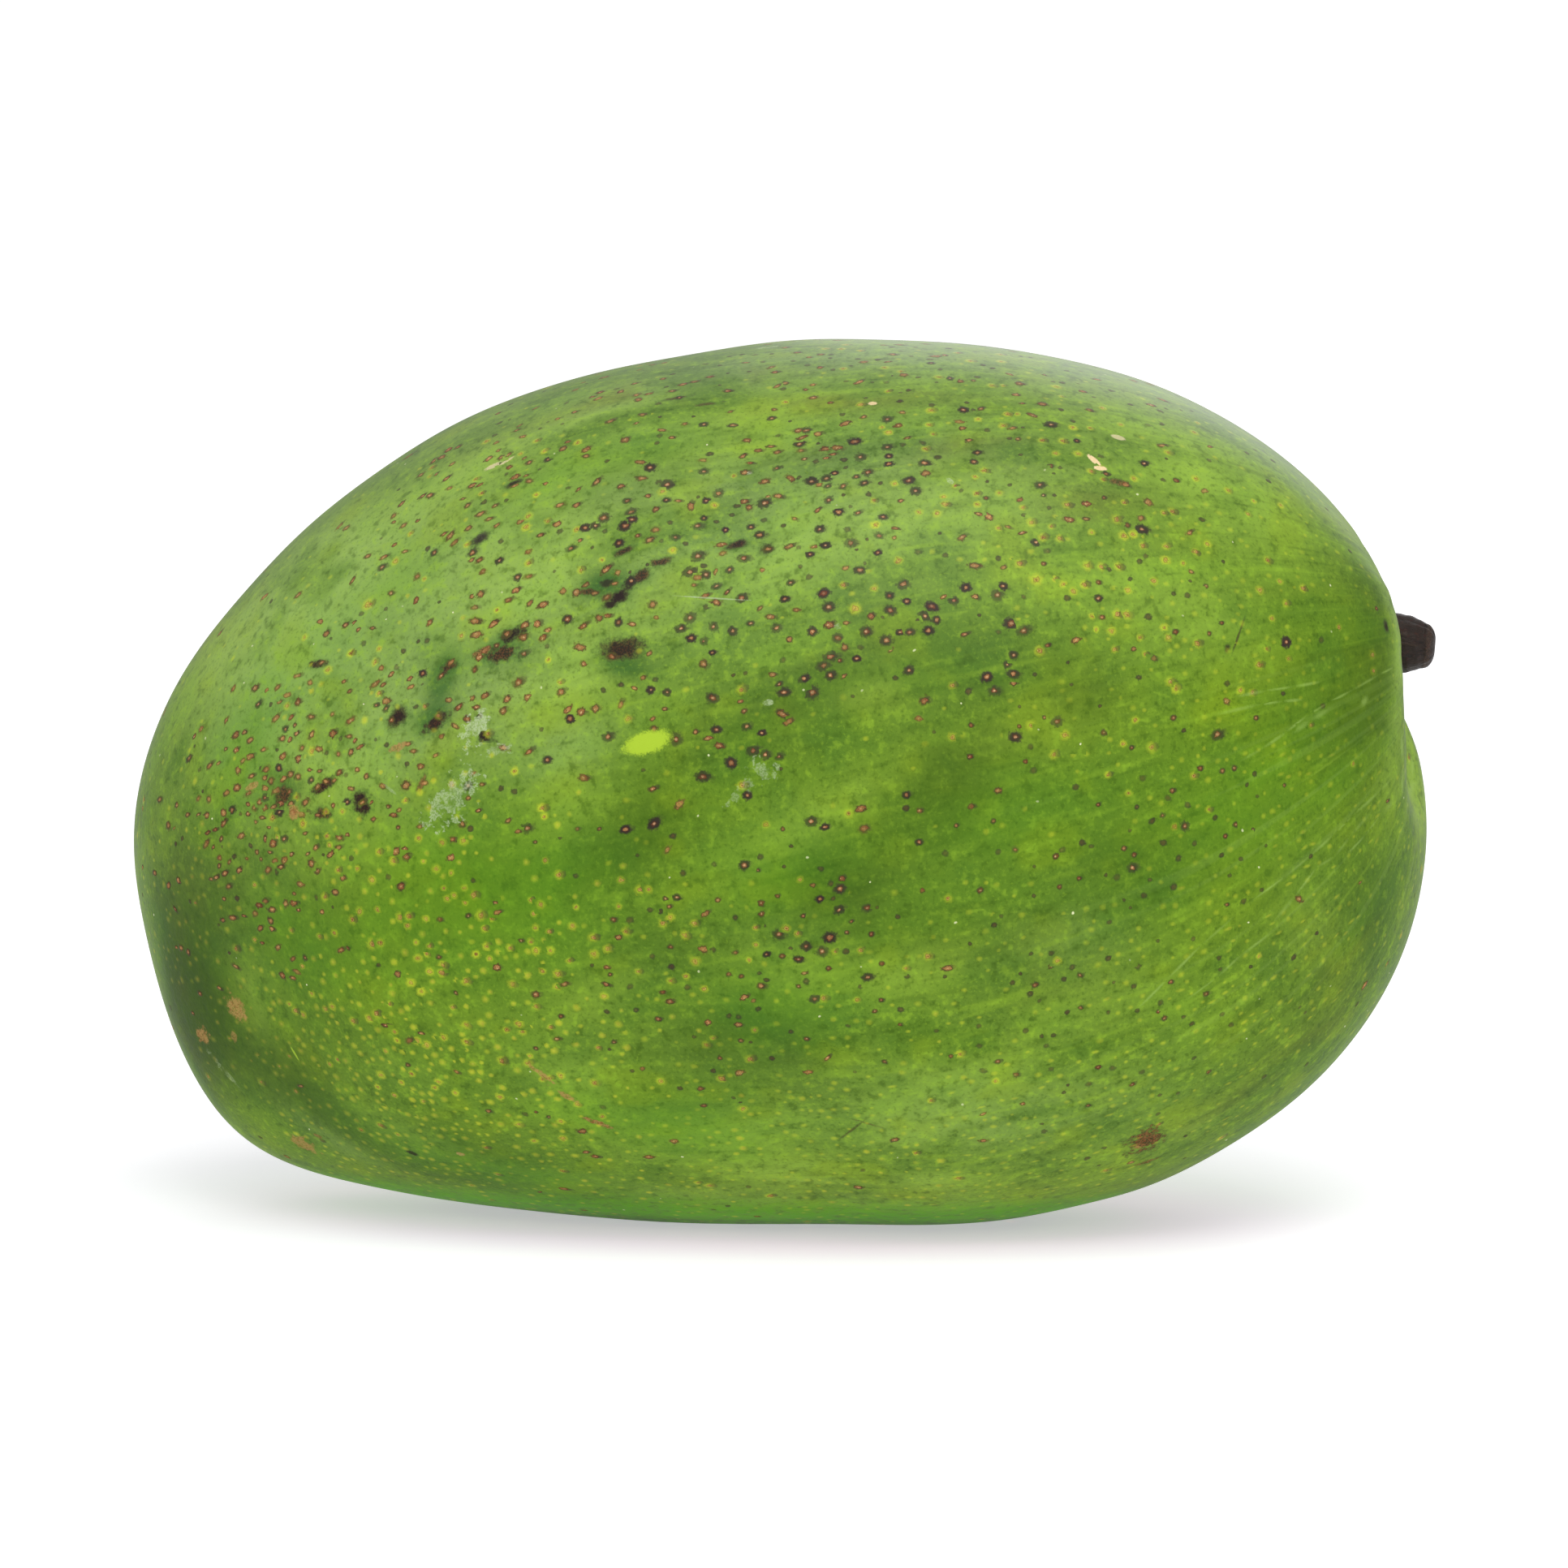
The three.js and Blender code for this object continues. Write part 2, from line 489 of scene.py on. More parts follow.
tints = {
    "stray": 9,  # how far a tint's twin on the far cheek lies from its mirrored place
    "twinTurn": 25,  # how far it is turned, in degrees
    "seed": 12,
    "floorReach": 5.5,  # the height above the floor up to which painted light from the floor falls on the skin, with a painted contact shadow lowest down
    "upright": (0.1, 0.9),  # where the wax starts and is full, as the upward part of the skin's normal
    "blunt": (1.6, 2.5),  # where the blunt end starts and is full, as an angle from the stalk in radians
    "globe": 40,  # the radius of the grain's own globe, about the fruit's half width
    "broadClouds": (17, 2, 21),  # size, octaves and seed of the soft patches that break up the green
    "roundClouds": (6.5, 3, 24),
    "longClouds": (5.5, 3, 22),  # along the grain, though not at the blunt end
    "hueClouds": (4.2, 3, 23),
    # at, length, width, tilt, then how light, shaded, yellow, blue, brown and bloomed; 0 where left out;
    # light and shaded are partly painted light and shade
    # painted highlight down the right rim, painted light along the bottom edge, painted shade over the
    # right side and part of the lower left
    "patches": (
        # bloomed is partly wax bloom and partly a painted sheen over the upper half and along the top edge
        ((800, 660), 32, 14, 12, 0, 0, 0, 0, 0, 0.7), ((470, 740), 13, 12, 40, 0, 0, 0, 0, 0, 0.8),
        ((560, 890), 11, 7, 20, 0, 0, 0, 0, 0, 0.6), ((1050, 445), 34, 5, 0, 0, 0, 0, 0, 0, 0.7),
        ((1000, 600), 22, 3.5, 3, 0, 0.22), ((830, 525), 5, 2.5, 10, 0.3, 0, 0, 0, 0, 0.2),
        ((960, 1160), 5, 3, 5, 0.25), ((1715, 1080), 4, 5, 0, 0, 0.2), ((1600, 860), 12, 15, 0, 0, 0, 0.3),
        ((1390, 500), 14, 5, -22, 0, 0.3, 0.3), ((830, 470), 8, 3, 12, 0, 0.5),
        ((1738, 945), 3, 7, 0, 0.9, 0, 0.2), ((1723, 800), 1.6, 9, 0, 0.9, 0, 0.2, 0, 0, 0.3),
        ((1716, 985), 4, 5, 0, 0.4), ((222, 1235), 3.5, 8, 15, 0, 0.8), ((1630, 880), 7, 5, 10, 0, 0.4),
        ((1200, 925), 8, 4, 10, 0, 0.25), ((1080, 1450), 8, 2.5, 0, 0.5, 0, 0.2),
        ((560, 1450), 9, 2.5, -12, 0, 0.5), ((1150, 560), 20, 8, 5, 0, 0, 0, 0, 0, 0.3),
        ((1250, 1380), 16, 6, 0, 0, 0, 0, 0, 0, 0.5), ((1080, 845), 5, 2.5, 15, 0.6, 0, 0.8),
        ((700, 690), 6, 2.5, 25, 0.4, 0, 0.5), ((265, 800), 6, 8, 60, 0.6, 0, 0.4),
        ((1500, 600), 10, 5, -35, 0.3, 0, 0.2), ((1570, 690), 12, 8, -20, 0, 0.34),
        ((1440, 1080), 13, 6, 10, 0, 0.45), ((1080, 1000), 13, 4, 10, 0, 0.3),
        ((1020, 1085), 7, 4, 5, 0, 0.3), ((1330, 845), 5, 4, 0, 0, 0.4), ((1620, 1140), 4, 6, 20, 0.4),
        ((330, 830), 16, 12, 60, 0.25, 0, 0, 0, 0, 0.7), ((255, 1095), 8, 7, 0, 0, 0.55, 0.1),
        ((400, 1280), 7, 6, 0, 0, 0.45), ((310, 1230), 4, 6, 0, 0.5, 0, 0.2),
        ((550, 600), 8, 5, 30, 0.6, 0, 0.3), ((700, 925), 5, 3, 20, 0.2, 0, 0, 0, 0, 0.5),
        ((590, 520), 7, 3, 35, 0.4, 0, 0.1, 0, 0, 0.3), ((740, 500), 17, 4, 20, 0.4, 0, 0.1, 0, 0, 0.3),
        ((770, 605), 8, 3, 15, 0, 0.3), ((340, 730), 10, 5, 50, 0.55, 0, 0.1, 0, 0, 0.4),
        ((450, 925), 7, 3, 20, 0.3), ((1530, 765), 5, 3, 0, 0.3), ((700, 1325), 5, 3, 0, 0.35),
        ((500, 1320), 4, 3, 0, 0.3), ((410, 1405), 6, 2, -25, 0.3, 0, 0, 0, 0, 0.3),
        ((1080, 1455), 7, 2.5, 0, 0.4, 0, 0, 0, 0, 0.2), ((1200, 920), 5, 3, 10, 0, 0.35),
        ((1390, 1240), 8, 3, 15, 0, 0.25), ((1330, 1160), 6, 4, 5, 0.15, 0, 0, 0, 0, 0.2),
        ((960, 1440), 24, 3, 0, 0.2), ((1350, 1240), 8, 4, 15, 0.4, 0, 0.1),
        ((1180, 1330), 8, 4, 5, 0.4, 0, 0.1), ((1020, 1450), 14, 2.5, 0, 0.6, 0, 0.2),
        ((960, 925), 6, 4, 15, 0, 0.4), ((1560, 870), 13, 19, 0, 0, 0.36), ((1150, 1165), 9, 3, 5, 0, 0.4),
        ((900, 1290), 11, 5, 5, 0, 0.25), ((1140, 570), 11, 3.5, 5, 0, 0.28),
        ((400, 930), 11, 9, 60, 0.5, 0, 0.1), ((510, 1400), 7, 2.5, -20, 0.45, 0, 0.1),
        ((700, 1000), 5, 3, 20, 0.4, 0, 0.1), ((1050, 1090), 8, 5, 0, 0, 0.25),
        ((850, 1370), 7, 3.5, 5, 0, 0.5), ((600, 1420), 8, 3, -10, 0, 0.5),
        ((760, 600), 6, 2.5, 20, 0, 0.4), ((560, 560), 6, 2.5, 35, 0, 0.3),
        ((640, 690), 15, 8, 25, 0.75, 0, 0.3), ((400, 720), 10, 6, 45, 0.8, 0, 0.3),
        ((960, 690), 9, 4, 15, 0.9, 0, 0, 0.1), ((1150, 610), 12, 6, 10, 0.5, 0, 0.2),
        ((700, 840), 9, 3.5, 25, 0.7, 0, 0.4), ((830, 570), 12, 3, 20, 0.1, 0, 0.4),
        ((960, 505), 10, 2, 4, 0.6, 0, 0.8), ((1450, 540), 14, 5, -25, 0.5),
        ((740, 1230), 6, 3, 30, 0.4, 0, 0.2), ((560, 1150), 9, 6, 30, 0.1, 0.1, 0.3),
        ((900, 1400), 12, 4, 5, 0.6, 0, 0.2), ((1150, 1390), 10, 4, 5, 0.5, 0, 0.1),
        ((1000, 1010), 10, 2.5, 35, 0.5, 0, 0.1), ((1080, 1200), 10, 2.5, 5, 0.5, 0, 0.3),
        ((1600, 860), 10, 7, 20, 0.1, 0.25, 0.7), ((1520, 1080), 8, 6, 20, 0.1, 0.1, 0.6),
        ((1280, 900), 8, 3, 20, 0.3, 0, 0.4), ((780, 1030), 9, 5, 30, 0, 0.9, 0.1),
        ((1010, 850), 10, 3, 20, 0, 0.75, 0, 0.2, 0.2), ((1160, 820), 9, 4, 10, 0, 0.6, 0, 0.3),
        ((1020, 1120), 11, 7, 10, 0, 0.55, 0, 0, 0.1), ((1200, 980), 9, 8, 20, 0, 0.5, 0, 0, 0.1),
        ((1330, 870), 5, 4, 10, 0, 0.6, 0.2), ((940, 1290), 9, 6, 5, 0, 0.65, 0, 0, 0.1),
        ((830, 900), 7, 4, 20, 0, 0.35), ((560, 800), 7, 5, 30, 0, 0.35, 0.1, 0.1),
        ((1080, 760), 4, 3, 10, 0, 0.4, 0, 0.1), ((770, 600), 5, 3, 15, 0, 0.35, 0.1),
        ((1690, 880), 6, 12, 0, 0, 0.8, 0.5), ((1690, 1120), 5, 9, 15, 0, 0.5, 0, 0.1, 0.1),
        ((800, 1180), 9, 4, 25, 0, 0.4, 0, 0.2, 0.1), ((340, 1130), 9, 10, 0, 0, 0.65, 0.2, 0, 0.1),
        ((225, 1190), 6, 13, 5, 0, 1.3, 0.3, 0, 0.2), ((245, 1260), 6, 10, -15, 0, 1.1, 0.1, 0, 0.2),
        ((350, 1330), 12, 5.5, -38, 0, 1.4, 0, 0.1, 0.1), ((470, 1110), 9, 7, 10, 0, 0.3, 0.3),
        ((590, 1090), 7, 5, 10, 0, 0.45, 0.2), ((570, 1425), 9, 4, -15, 0, 0.6, 0, 0.3, 0.1),
        ((960, 1478), 26, 3, 0, 1.0, 0, 0, 0.25), ((1450, 765), 9, 5, 0, 0.6, 0, 0.2),
        ((1500, 620), 10, 6, -30, 0.5), ((710, 520), 8, 3, 25, 0.5), ((1090, 472), 14, 2, 0, 0.45),
        ((1330, 690), 8, 5, 5, 0.35), ((1640, 1190), 6, 12, 20, 0, 0.35, 0, 0.3, 0.3),
        ((1560, 1330), 10, 5, 40, 0, 0.4, 0, 0.2, 0.4), ((1450, 1400), 9, 3, 25, 0.5, 0, 0, 0, 0.2),
        ((1300, 1200), 8, 5, 0, 0, 0.4, 0, 0.1, 0.2), ((1370, 1050), 7, 7, 0, 0, 0.35),
        ((800, 480), 14, 2.2, 8, 0, 0.35, 0, 0, 0.8), ((1060, 490), 10, 2, 2, 0, 0.4, 0, 0, 0.8),
        ((1210, 555), 6, 2, 3, 0, 0.5, 0, 0, 0.7), ((1000, 560), 8, 1.8, 10, 0, 0.5, 0, 0.1, 0.2),
        ((1350, 620), 6, 2.5, 10, 0, 0.3, 0, 0, 0.5), ((1400, 780), 9, 4, 5, 0, 0.3, 0, 0.2),
        ((1700, 760), 4, 8, 10, 0, 0.5, 0, 0.4, 0.2), ((745, 718), 2.4, 1.6, 10, 0, 0.8, 0, 1.3),
        ((770, 822), 3.0, 1.2, -10, 0, 0.6, 0, 1.1), ((545, 835), 2.6, 1.5, 70, 0, 0.8, 0, 1.2),
        ((615, 800), 2.6, 1.4, 15, 0, 0.5, 0, 0.8), ((530, 885), 2.4, 1.3, 20, 0, 0.6, 0, 0.9),
        ((350, 975), 3.0, 2.0, 10, 0, 0.4, 0, 0.4, 0.3),
    ),
    # at, length, width, tilt, then how much leaf green
    "leafPatches": (
        ((600, 1110), 14, 8, 15, 0.9),
        ((640, 1450), 16, 4, -5, 0.9),
        ((830, 1390), 9, 5, 0, 0.9),
        ((960, 1240), 9, 5, 5, 0.6),
        ((960, 1080), 7, 4, 20, 0.6),
        ((1600, 880), 12, 15, 0, 0.16),
        ((400, 790), 13, 7, 20, 0.35),
        ((300, 930), 7, 5, 60, 0.8),
        ((380, 1170), 8, 6, 0, 0.6),
        ((1530, 1010), 14, 9, 30, 0.5),
        ((760, 560), 12, 4, 20, 0.5),
        ((1250, 1010), 10, 5, 10, 0.5),
    ),
}


def castTints(patches, kinds):
    rng = np.random.default_rng(tints["seed"])
    amounts = np.zeros((len(skin), kinds))
    for pixel, length, width, tilt, *share in patches:
        near = placeAt(pixel)
        far = twin(near[0], rng, tints["stray"])
        for (middle, away), turn in ((near, tilt), (far, tilt + rng.normal() * tints["twinTurn"])):
            first, second = acrossPicture(away, turn)
            offset = skin - middle
            spread = ((offset @ first) / length) ** 2 + ((offset @ second) / width) ** 2
            spread += ((offset @ away) / (2 * length)) ** 2
            amounts[:, :len(share)] += np.exp(-spread)[:, None] * np.array(share)
    return amounts


def ramp(values, start, end):
    return np.clip((values - start) / (end - start), 0, 1)


tintAmounts = castTints(tints["patches"], 6)
storeVectors(fruitMesh, "tintWarm", "POINT", tintAmounts[:, :3])
storeVectors(fruitMesh, "tintCool", "POINT", tintAmounts[:, 3:])
awayFromStalk, aroundStalk = grainAngles(unit(skin - shift - np.array([0, 0, fruitForm["middleHeight"]])))
grain = np.column_stack([np.cos(aroundStalk), np.sin(aroundStalk), awayFromStalk]) * tints["globe"]
storeVectors(fruitMesh, "grain", "POINT", grain)
blunt = ramp(awayFromStalk, *tints["blunt"])
longPatches = clouds(grain * [1, 1, 0.6], *tints["longClouds"])
roundPatches = clouds(skin, *tints["roundClouds"])
storeVectors(fruitMesh, "clouds", "POINT", np.column_stack([
    clouds(skin, *tints["broadClouds"]),
    roundPatches * blunt + longPatches * (1 - blunt),
    clouds(skin * [0.8, 1, 1], *tints["hueClouds"]),
]))
normals = np.empty(len(skin) * 3, np.float32)
fruitMesh.vertex_normals.foreach_get("vector", normals)
storeVectors(fruitMesh, "shares", "POINT", np.column_stack([
    ramp(normals.reshape(-1, 3)[:, 2], *tints["upright"]),
    ramp(skin[:, 2], tints["floorReach"], 0),
    castTints(tints["leafPatches"], 1),
]))
print("fruit: tints laid")

# Freckles, which are the skin's pores, and larger marks

freckles = {
    "seed": 31,
    "closest": 0.82,
    "tries": 46000,
    "margin": 1.7,  # how far its halo and smudge reach, in radii
    "standingSize": (1.0, 1.25),  # of those listed one by one
    "haloShare": (0.6, 1.0),
    "ringShare": (0.3, 1.0),  # before its square root is taken
    "coreShare": (0.6, 1.0),
    "toneSpread": 0.25,
    "pinShare": (0.2, 1.0),
    "coreSize": (0.8, 1.15),
    # radius and stretch from and to, tilt, then dark ring, halo, core, core's size, tone and pinpoint
    "kinds": {
        "ringed": (0.36, 0.62, 1.0, 1.5, 12, 1.0, 0.0, 0.85, 0.36, 0.60, 0.5),
        "corky": (0.27, 0.53, 1.0, 2.1, 18, 0.78, 0.60, 0.95, 0.58, 0.40, 0.35),
        "yellow": (0.34, 0.54, 1.0, 1.15, 10, 0.0, 1.00, 0.70, 0.42, 0.10, 0.6),
        "fine": (0.20, 0.42, 1.0, 1.2, 10, 0.0, 0.80, 0.14, 0.45, 0.2, 0.0),
        "faint": (0.18, 0.34, 1.0, 1.4, 10, 0.0, 0.50, 0.0, 0.40, 0.0, 0.0),
        "speck": (0.18, 0.36, 1.0, 1.3, 20, 0.8, 0.0, 0.15, 0.5, 0.9, 0.0),
        "red": (0.24, 0.38, 1.0, 1.2, 10, 0.7, 0.1, 0.8, 0.55, 0.95, 0.4),
        "slit": (0.22, 0.32, 1.8, 3.2, 6, 0.0, 0.55, 0.1, 0.3, 0.0, 0.0),
        "dust": (0.40, 0.70, 1.0, 1.6, 60, 0.0, 0.0, 0.0, 0.3, 2.0, 1.0),
    },
    # at, reach, then how many of each kind to the square centimetre
    "fields": (
        ((960, 600), 12, {"ringed": 5, "corky": 6, "speck": 5, "yellow": 1}),
        ((840, 700), 12, {"ringed": 3, "corky": 8, "speck": 4}),
        ((1110, 700), 12, {"ringed": 1.5, "corky": 3, "speck": 4}),
        ((940, 860), 10, {"ringed": 1, "corky": 2.5, "speck": 4}),
        ((1240, 800), 7, {"ringed": 1, "speck": 4}),
        ((620, 640), 14, {"corky": 13, "ringed": 2, "yellow": 4, "speck": 2}),
        ((620, 840), 14, {"corky": 13, "ringed": 2.5, "speck": 3}),
        ((440, 880), 12, {"corky": 11, "speck": 3, "yellow": 3, "fine": 3, "dust": 2}),
        ((350, 985), 8, {"corky": 84, "ringed": 9, "speck": 6}),
        ((300, 1060), 8, {"corky": 56, "fine": 10, "speck": 5}),
        ((480, 1090), 11, {"yellow": 14, "corky": 6, "red": 4, "fine": 10}),
        ((620, 1180), 12, {"yellow": 16, "fine": 16, "red": 3}),
        ((470, 1250), 11, {"yellow": 14, "fine": 40, "corky": 2}),
        ((420, 1350), 10, {"fine": 85, "yellow": 6}),
        ((560, 1380), 12, {"fine": 46, "yellow": 3}),
        ((240, 1150), 9, {"fine": 26, "corky": 5, "speck": 5}),
        ((800, 1420), 16, {"faint": 18, "fine": 6, "yellow": 1}),
        ((1050, 1420), 16, {"faint": 20, "fine": 4, "yellow": 1}),
        ((820, 1190), 12, {"corky": 6, "yellow": 6, "red": 5, "speck": 5}),
        ((1030, 1140), 9, {"red": 6, "ringed": 2.5, "speck": 9, "yellow": 2}),
        ((1000, 1280), 12, {"yellow": 3, "faint": 8, "red": 3, "speck": 3}),
        ((1180, 560), 12, {"corky": 6, "ringed": 2.5, "yellow": 4, "speck": 5}),
        ((1330, 620), 12, {"corky": 4, "yellow": 13, "red": 3, "speck": 3}),
        ((1420, 720), 13, {"yellow": 9, "red": 1.5, "speck": 1, "faint": 10}),
        ((1580, 720), 12, {"yellow": 2, "faint": 14, "speck": 1, "dust": 1}),
        ((1600, 880), 13, {"yellow": 1, "faint": 12, "red": 1, "speck": 1}),
        ((1380, 900), 13, {"red": 3.5, "yellow": 2, "speck": 2, "faint": 9}),
        ((1400, 1060), 12, {"red": 8, "speck": 6, "faint": 8, "dust": 1}),
        ((1340, 1200), 12, {"red": 5, "speck": 7, "faint": 9, "dust": 1}),
        ((1560, 1180), 14, {"slit": 10, "faint": 12, "speck": 3}),
        ((1650, 1060), 10, {"slit": 12, "faint": 14}),
        ((1440, 1340), 13, {"slit": 6, "faint": 9, "speck": 3}),
        ((1250, 1420), 12, {"faint": 18, "slit": 3}),
        ((880, 480), 14, {"corky": 8, "speck": 7}),
        ((1100, 470), 14, {"corky": 7, "speck": 7, "yellow": 2}),
        ((700, 530), 12, {"corky": 5, "speck": 2}),
        ((1350, 500), 12, {"corky": 2, "speck": 6, "faint": 3}),
    ),
    "everywhere": {"faint": 4.0, "speck": 0.8, "yellow": 0.5, "corky": 0.5, "dust": 0.6},
    "stray": 8,
    # marks that stand out, each list of one kind
    "standing": {
        "ringed": (
            (832, 662), (860, 685), (916, 688), (867, 523), (903, 524), (985, 547), (867, 581), (801, 576),
            (822, 597), (885, 608), (870, 617), (821, 616), (942, 620), (770, 648), (744, 638), (703, 676),
            (859, 648), (936, 659), (899, 702), (998, 683), (850, 705), (974, 718), (883, 722), (914, 737),
            (967, 738), (850, 761), (925, 768), (957, 774), (879, 772), (867, 790), (852, 786), (762, 767),
            (699, 763), (822, 853), (802, 850), (878, 860), (883, 899), (833, 911), (920, 895), (960, 843),
            (966, 853), (991, 836), (749, 908), (1187, 505), (1295, 523), (1053, 544), (1095, 562),
            (1069, 582), (1065, 595), (1000, 593), (1020, 599), (1039, 599), (1120, 592), (1128, 605),
            (1033, 631), (1057, 632), (1088, 637), (1010, 652), (1083, 660), (1048, 669), (1017, 672),
            (1082, 681), (1015, 731), (1021, 748), (1113, 720), (1096, 734), (1117, 741), (1097, 752),
            (1190, 724), (1175, 740), (1229, 733), (1236, 722), (1148, 747), (1140, 759), (1154, 764),
            (1144, 777), (1121, 779), (1109, 779), (1092, 789), (1067, 778), (1032, 786), (1001, 778),
            (1023, 809), (1015, 820), (1023, 832), (990, 836), (1001, 853), (1246, 768), (1261, 777),
            (1249, 807), (1241, 819), (1248, 830), (1216, 834), (1225, 851), (1251, 908), (943, 930),
            (960, 932), (928, 925), (901, 940), (866, 957), (921, 980), (771, 1022), (806, 1015),
            (917, 1066), (1016, 1019), (999, 1012), (1035, 1095), (1034, 1121), (1022, 1155), (1013, 1172),
            (993, 1166), (984, 1182), (1500, 905), (1410, 571), (1407, 652), (1585, 791), (1395, 1069),
            (1460, 1018),
        ),
        "corky": (
            (800, 805), (669, 745), (595, 704), (592, 732), (597, 802), (964, 880), (650, 859), (639, 841),
            (620, 876), (716, 877), (734, 873), (804, 745), (669, 786), (647, 770), (587, 782), (585, 765),
            (1042, 700), (1201, 697), (384, 905), (432, 888), (340, 885), (523, 965), (500, 968),
        ),
        "yellow": (
            (1315, 622), (1376, 640), (1385, 660), (1408, 672), (1436, 690), (1340, 697), (1357, 698),
            (1437, 673), (1277, 714), (1054, 750), (1132, 631), (1140, 553), (453, 745), (456, 745),
            (628, 1168), (571, 1036), (525, 1132), (545, 1038), (592, 1128), (458, 1163), (493, 1130),
            (455, 1255), (489, 1282), (435, 1258),
        ),
        "speck": (
            (801, 1121), (814, 1123), (776, 1134), (898, 1252), (910, 1253), (1407, 1321), (1451, 1347),
            (1333, 1038), (1363, 1078), (1376, 1081), (1402, 1191), (1315, 1247), (674, 796), (700, 601),
            (675, 520), (1415, 760),
        ),
    },
}


def sampleSkin(count, rng):  # points spread evenly by area, with their normals
    quads = skin[faces]
    first = quads[:, 2] - quads[:, 0]
    second = quads[:, 3] - quads[:, 1]
    normals = np.cross(first, second)
    area = np.linalg.norm(normals, axis=1) / 2
    chosen = rng.choice(len(faces), count, p=area / area.sum())
    u, v = rng.random((2, count, 1))
    corner = quads[chosen]
    near = corner[:, 0] * (1 - u) + corner[:, 1] * u
    far = corner[:, 3] * (1 - u) + corner[:, 2] * u
    return near * (1 - v) + far * v, unit(normals[chosen]), area.sum()


def newFreckle(kind, point, normal, rng, size=1.0):
    low, high, least, most, tilt, *rest = freckles["kinds"][kind]
    radius = rng.uniform(low, high) * size
    stretch = rng.uniform(least, most)
    first, second = alongGrain(normal, rng.normal() * tilt)
    dark, halo, core, coreSize, tone, pin = rest
    strength = rng.uniform(*freckles["haloShare"])
    length = radius * math.sqrt(stretch)
    return {
        "point": point,
        "first": first / length,
        "second": second / (radius / math.sqrt(stretch)),
        "reach": length * freckles["margin"],
        "amounts": (
            dark * rng.uniform(*freckles["ringShare"]) ** 0.5,
            halo * strength,
            core * rng.uniform(*freckles["coreShare"]),
        ),
        "tones": (
            np.clip(tone + rng.normal() * freckles["toneSpread"], 0, 2),
            rng.random(),
            pin * rng.uniform(*freckles["pinShare"]),
        ),
        "third": coreSize * rng.uniform(*freckles["coreSize"]),
    }


def scatterFreckles():
    rng = np.random.default_rng(freckles["seed"])
    made = []
    for kind, pixels in freckles["standing"].items():
        for pixel in pixels:
            point, normal = placeAt(pixel)
            made.append(newFreckle(kind, point, normal, rng, rng.uniform(*freckles["standingSize"])))
    kinds = list(freckles["kinds"])
    points, normals, area = sampleSkin(freckles["tries"], rng)
    density = np.zeros((len(points), len(kinds)))
    for kind, number in freckles["everywhere"].items():
        density[:, kinds.index(kind)] += number
    for pixel, reach, numbers in freckles["fields"]:
        middle, _ = placeAt(pixel)
        farMiddle, _ = twin(middle, rng, freckles["stray"])
        for place in (middle, farMiddle):
            near = np.exp(-((np.linalg.norm(points - place, axis=1) / reach) ** 2))
            for kind, number in numbers.items():
                density[:, kinds.index(kind)] += near * number
    chance = density * (area / 100) / len(points)
    drawn = rng.random(len(points))
    order = np.cumsum(chance, axis=1)
    taken = np.flatnonzero(drawn < order[:, -1])
    grid = {}
    cell = freckles["closest"]

    def crowded(point):
        low = np.floor(point / cell).astype(int) - 1
        for step in np.ndindex(3, 3, 3):
            for other in grid.get(tuple(low + step), ()):
                if np.linalg.norm(point - other) < cell:
                    return True
        return False

    def settle(point):
        grid.setdefault(tuple(np.floor(point / cell).astype(int)), []).append(point)

    for freckle in made:
        settle(freckle["point"])
    for index in taken:
        point = points[index]
        if crowded(point):
            continue
        settle(point)
        kind = kinds[int(np.searchsorted(order[index], drawn[index]))]
        made.append(newFreckle(kind, point, normals[index], rng))
    return made


faceMiddles = skin[faces].mean(1)
faceTree = KDTree(len(faceMiddles))
for index, middle in enumerate(faceMiddles):
    faceTree.insert(middle, index)
faceTree.balance()


def pressMarks(name, marks):
    # each face keeps the mark that it is deepest in, as its corners' offsets from that mark's middle
    depth = np.full(len(faces), np.inf)
    owner = np.full(len(faces), -1)
    faceSize = 0.8  # about the distance between the middles of two faces
    outside = 9.0  # an offset past any mark's edge
    for number, mark in enumerate(marks):
        found = [index for _, index, _ in faceTree.find_range(mark["point"], mark["reach"] + faceSize)]
        offset = faceMiddles[found] - mark["point"]
        away = np.hypot(offset @ mark["first"], offset @ mark["second"])
        nearer = away < depth[found]
        kept = np.array(found)[nearer]
        depth[kept] = away[nearer]
        owner[kept] = number
    held = owner >= 0

    def ofOwner(key):
        return np.array([mark[key] for mark in marks])[owner[held]]

    offsets = np.full((len(faces), 4, 3), outside)
    away = skin[faces[held]] - ofOwner("point")[:, None]
    offsets[held, :, 0] = np.einsum("ijk,ik->ij", away, ofOwner("first"))
    offsets[held, :, 1] = np.einsum("ijk,ik->ij", away, ofOwner("second"))
    offsets[held, :, 2] = ofOwner("third")[:, None]
    storeVectors(fruitMesh, name + "Offset", "CORNER", offsets)
    for key in ("amounts", "tones"):
        values = np.zeros((len(faces), 4, 3))
        values[held] = ofOwner(key)[:, None]
        storeVectors(fruitMesh, name + key.capitalize(), "CORNER", values)


freckleMarks = scatterFreckles()
pressMarks("freckle", freckleMarks)
print("fruit: freckles pressed,", len(freckleMarks))

# Blotches, scars and smears, which are larger and ragged

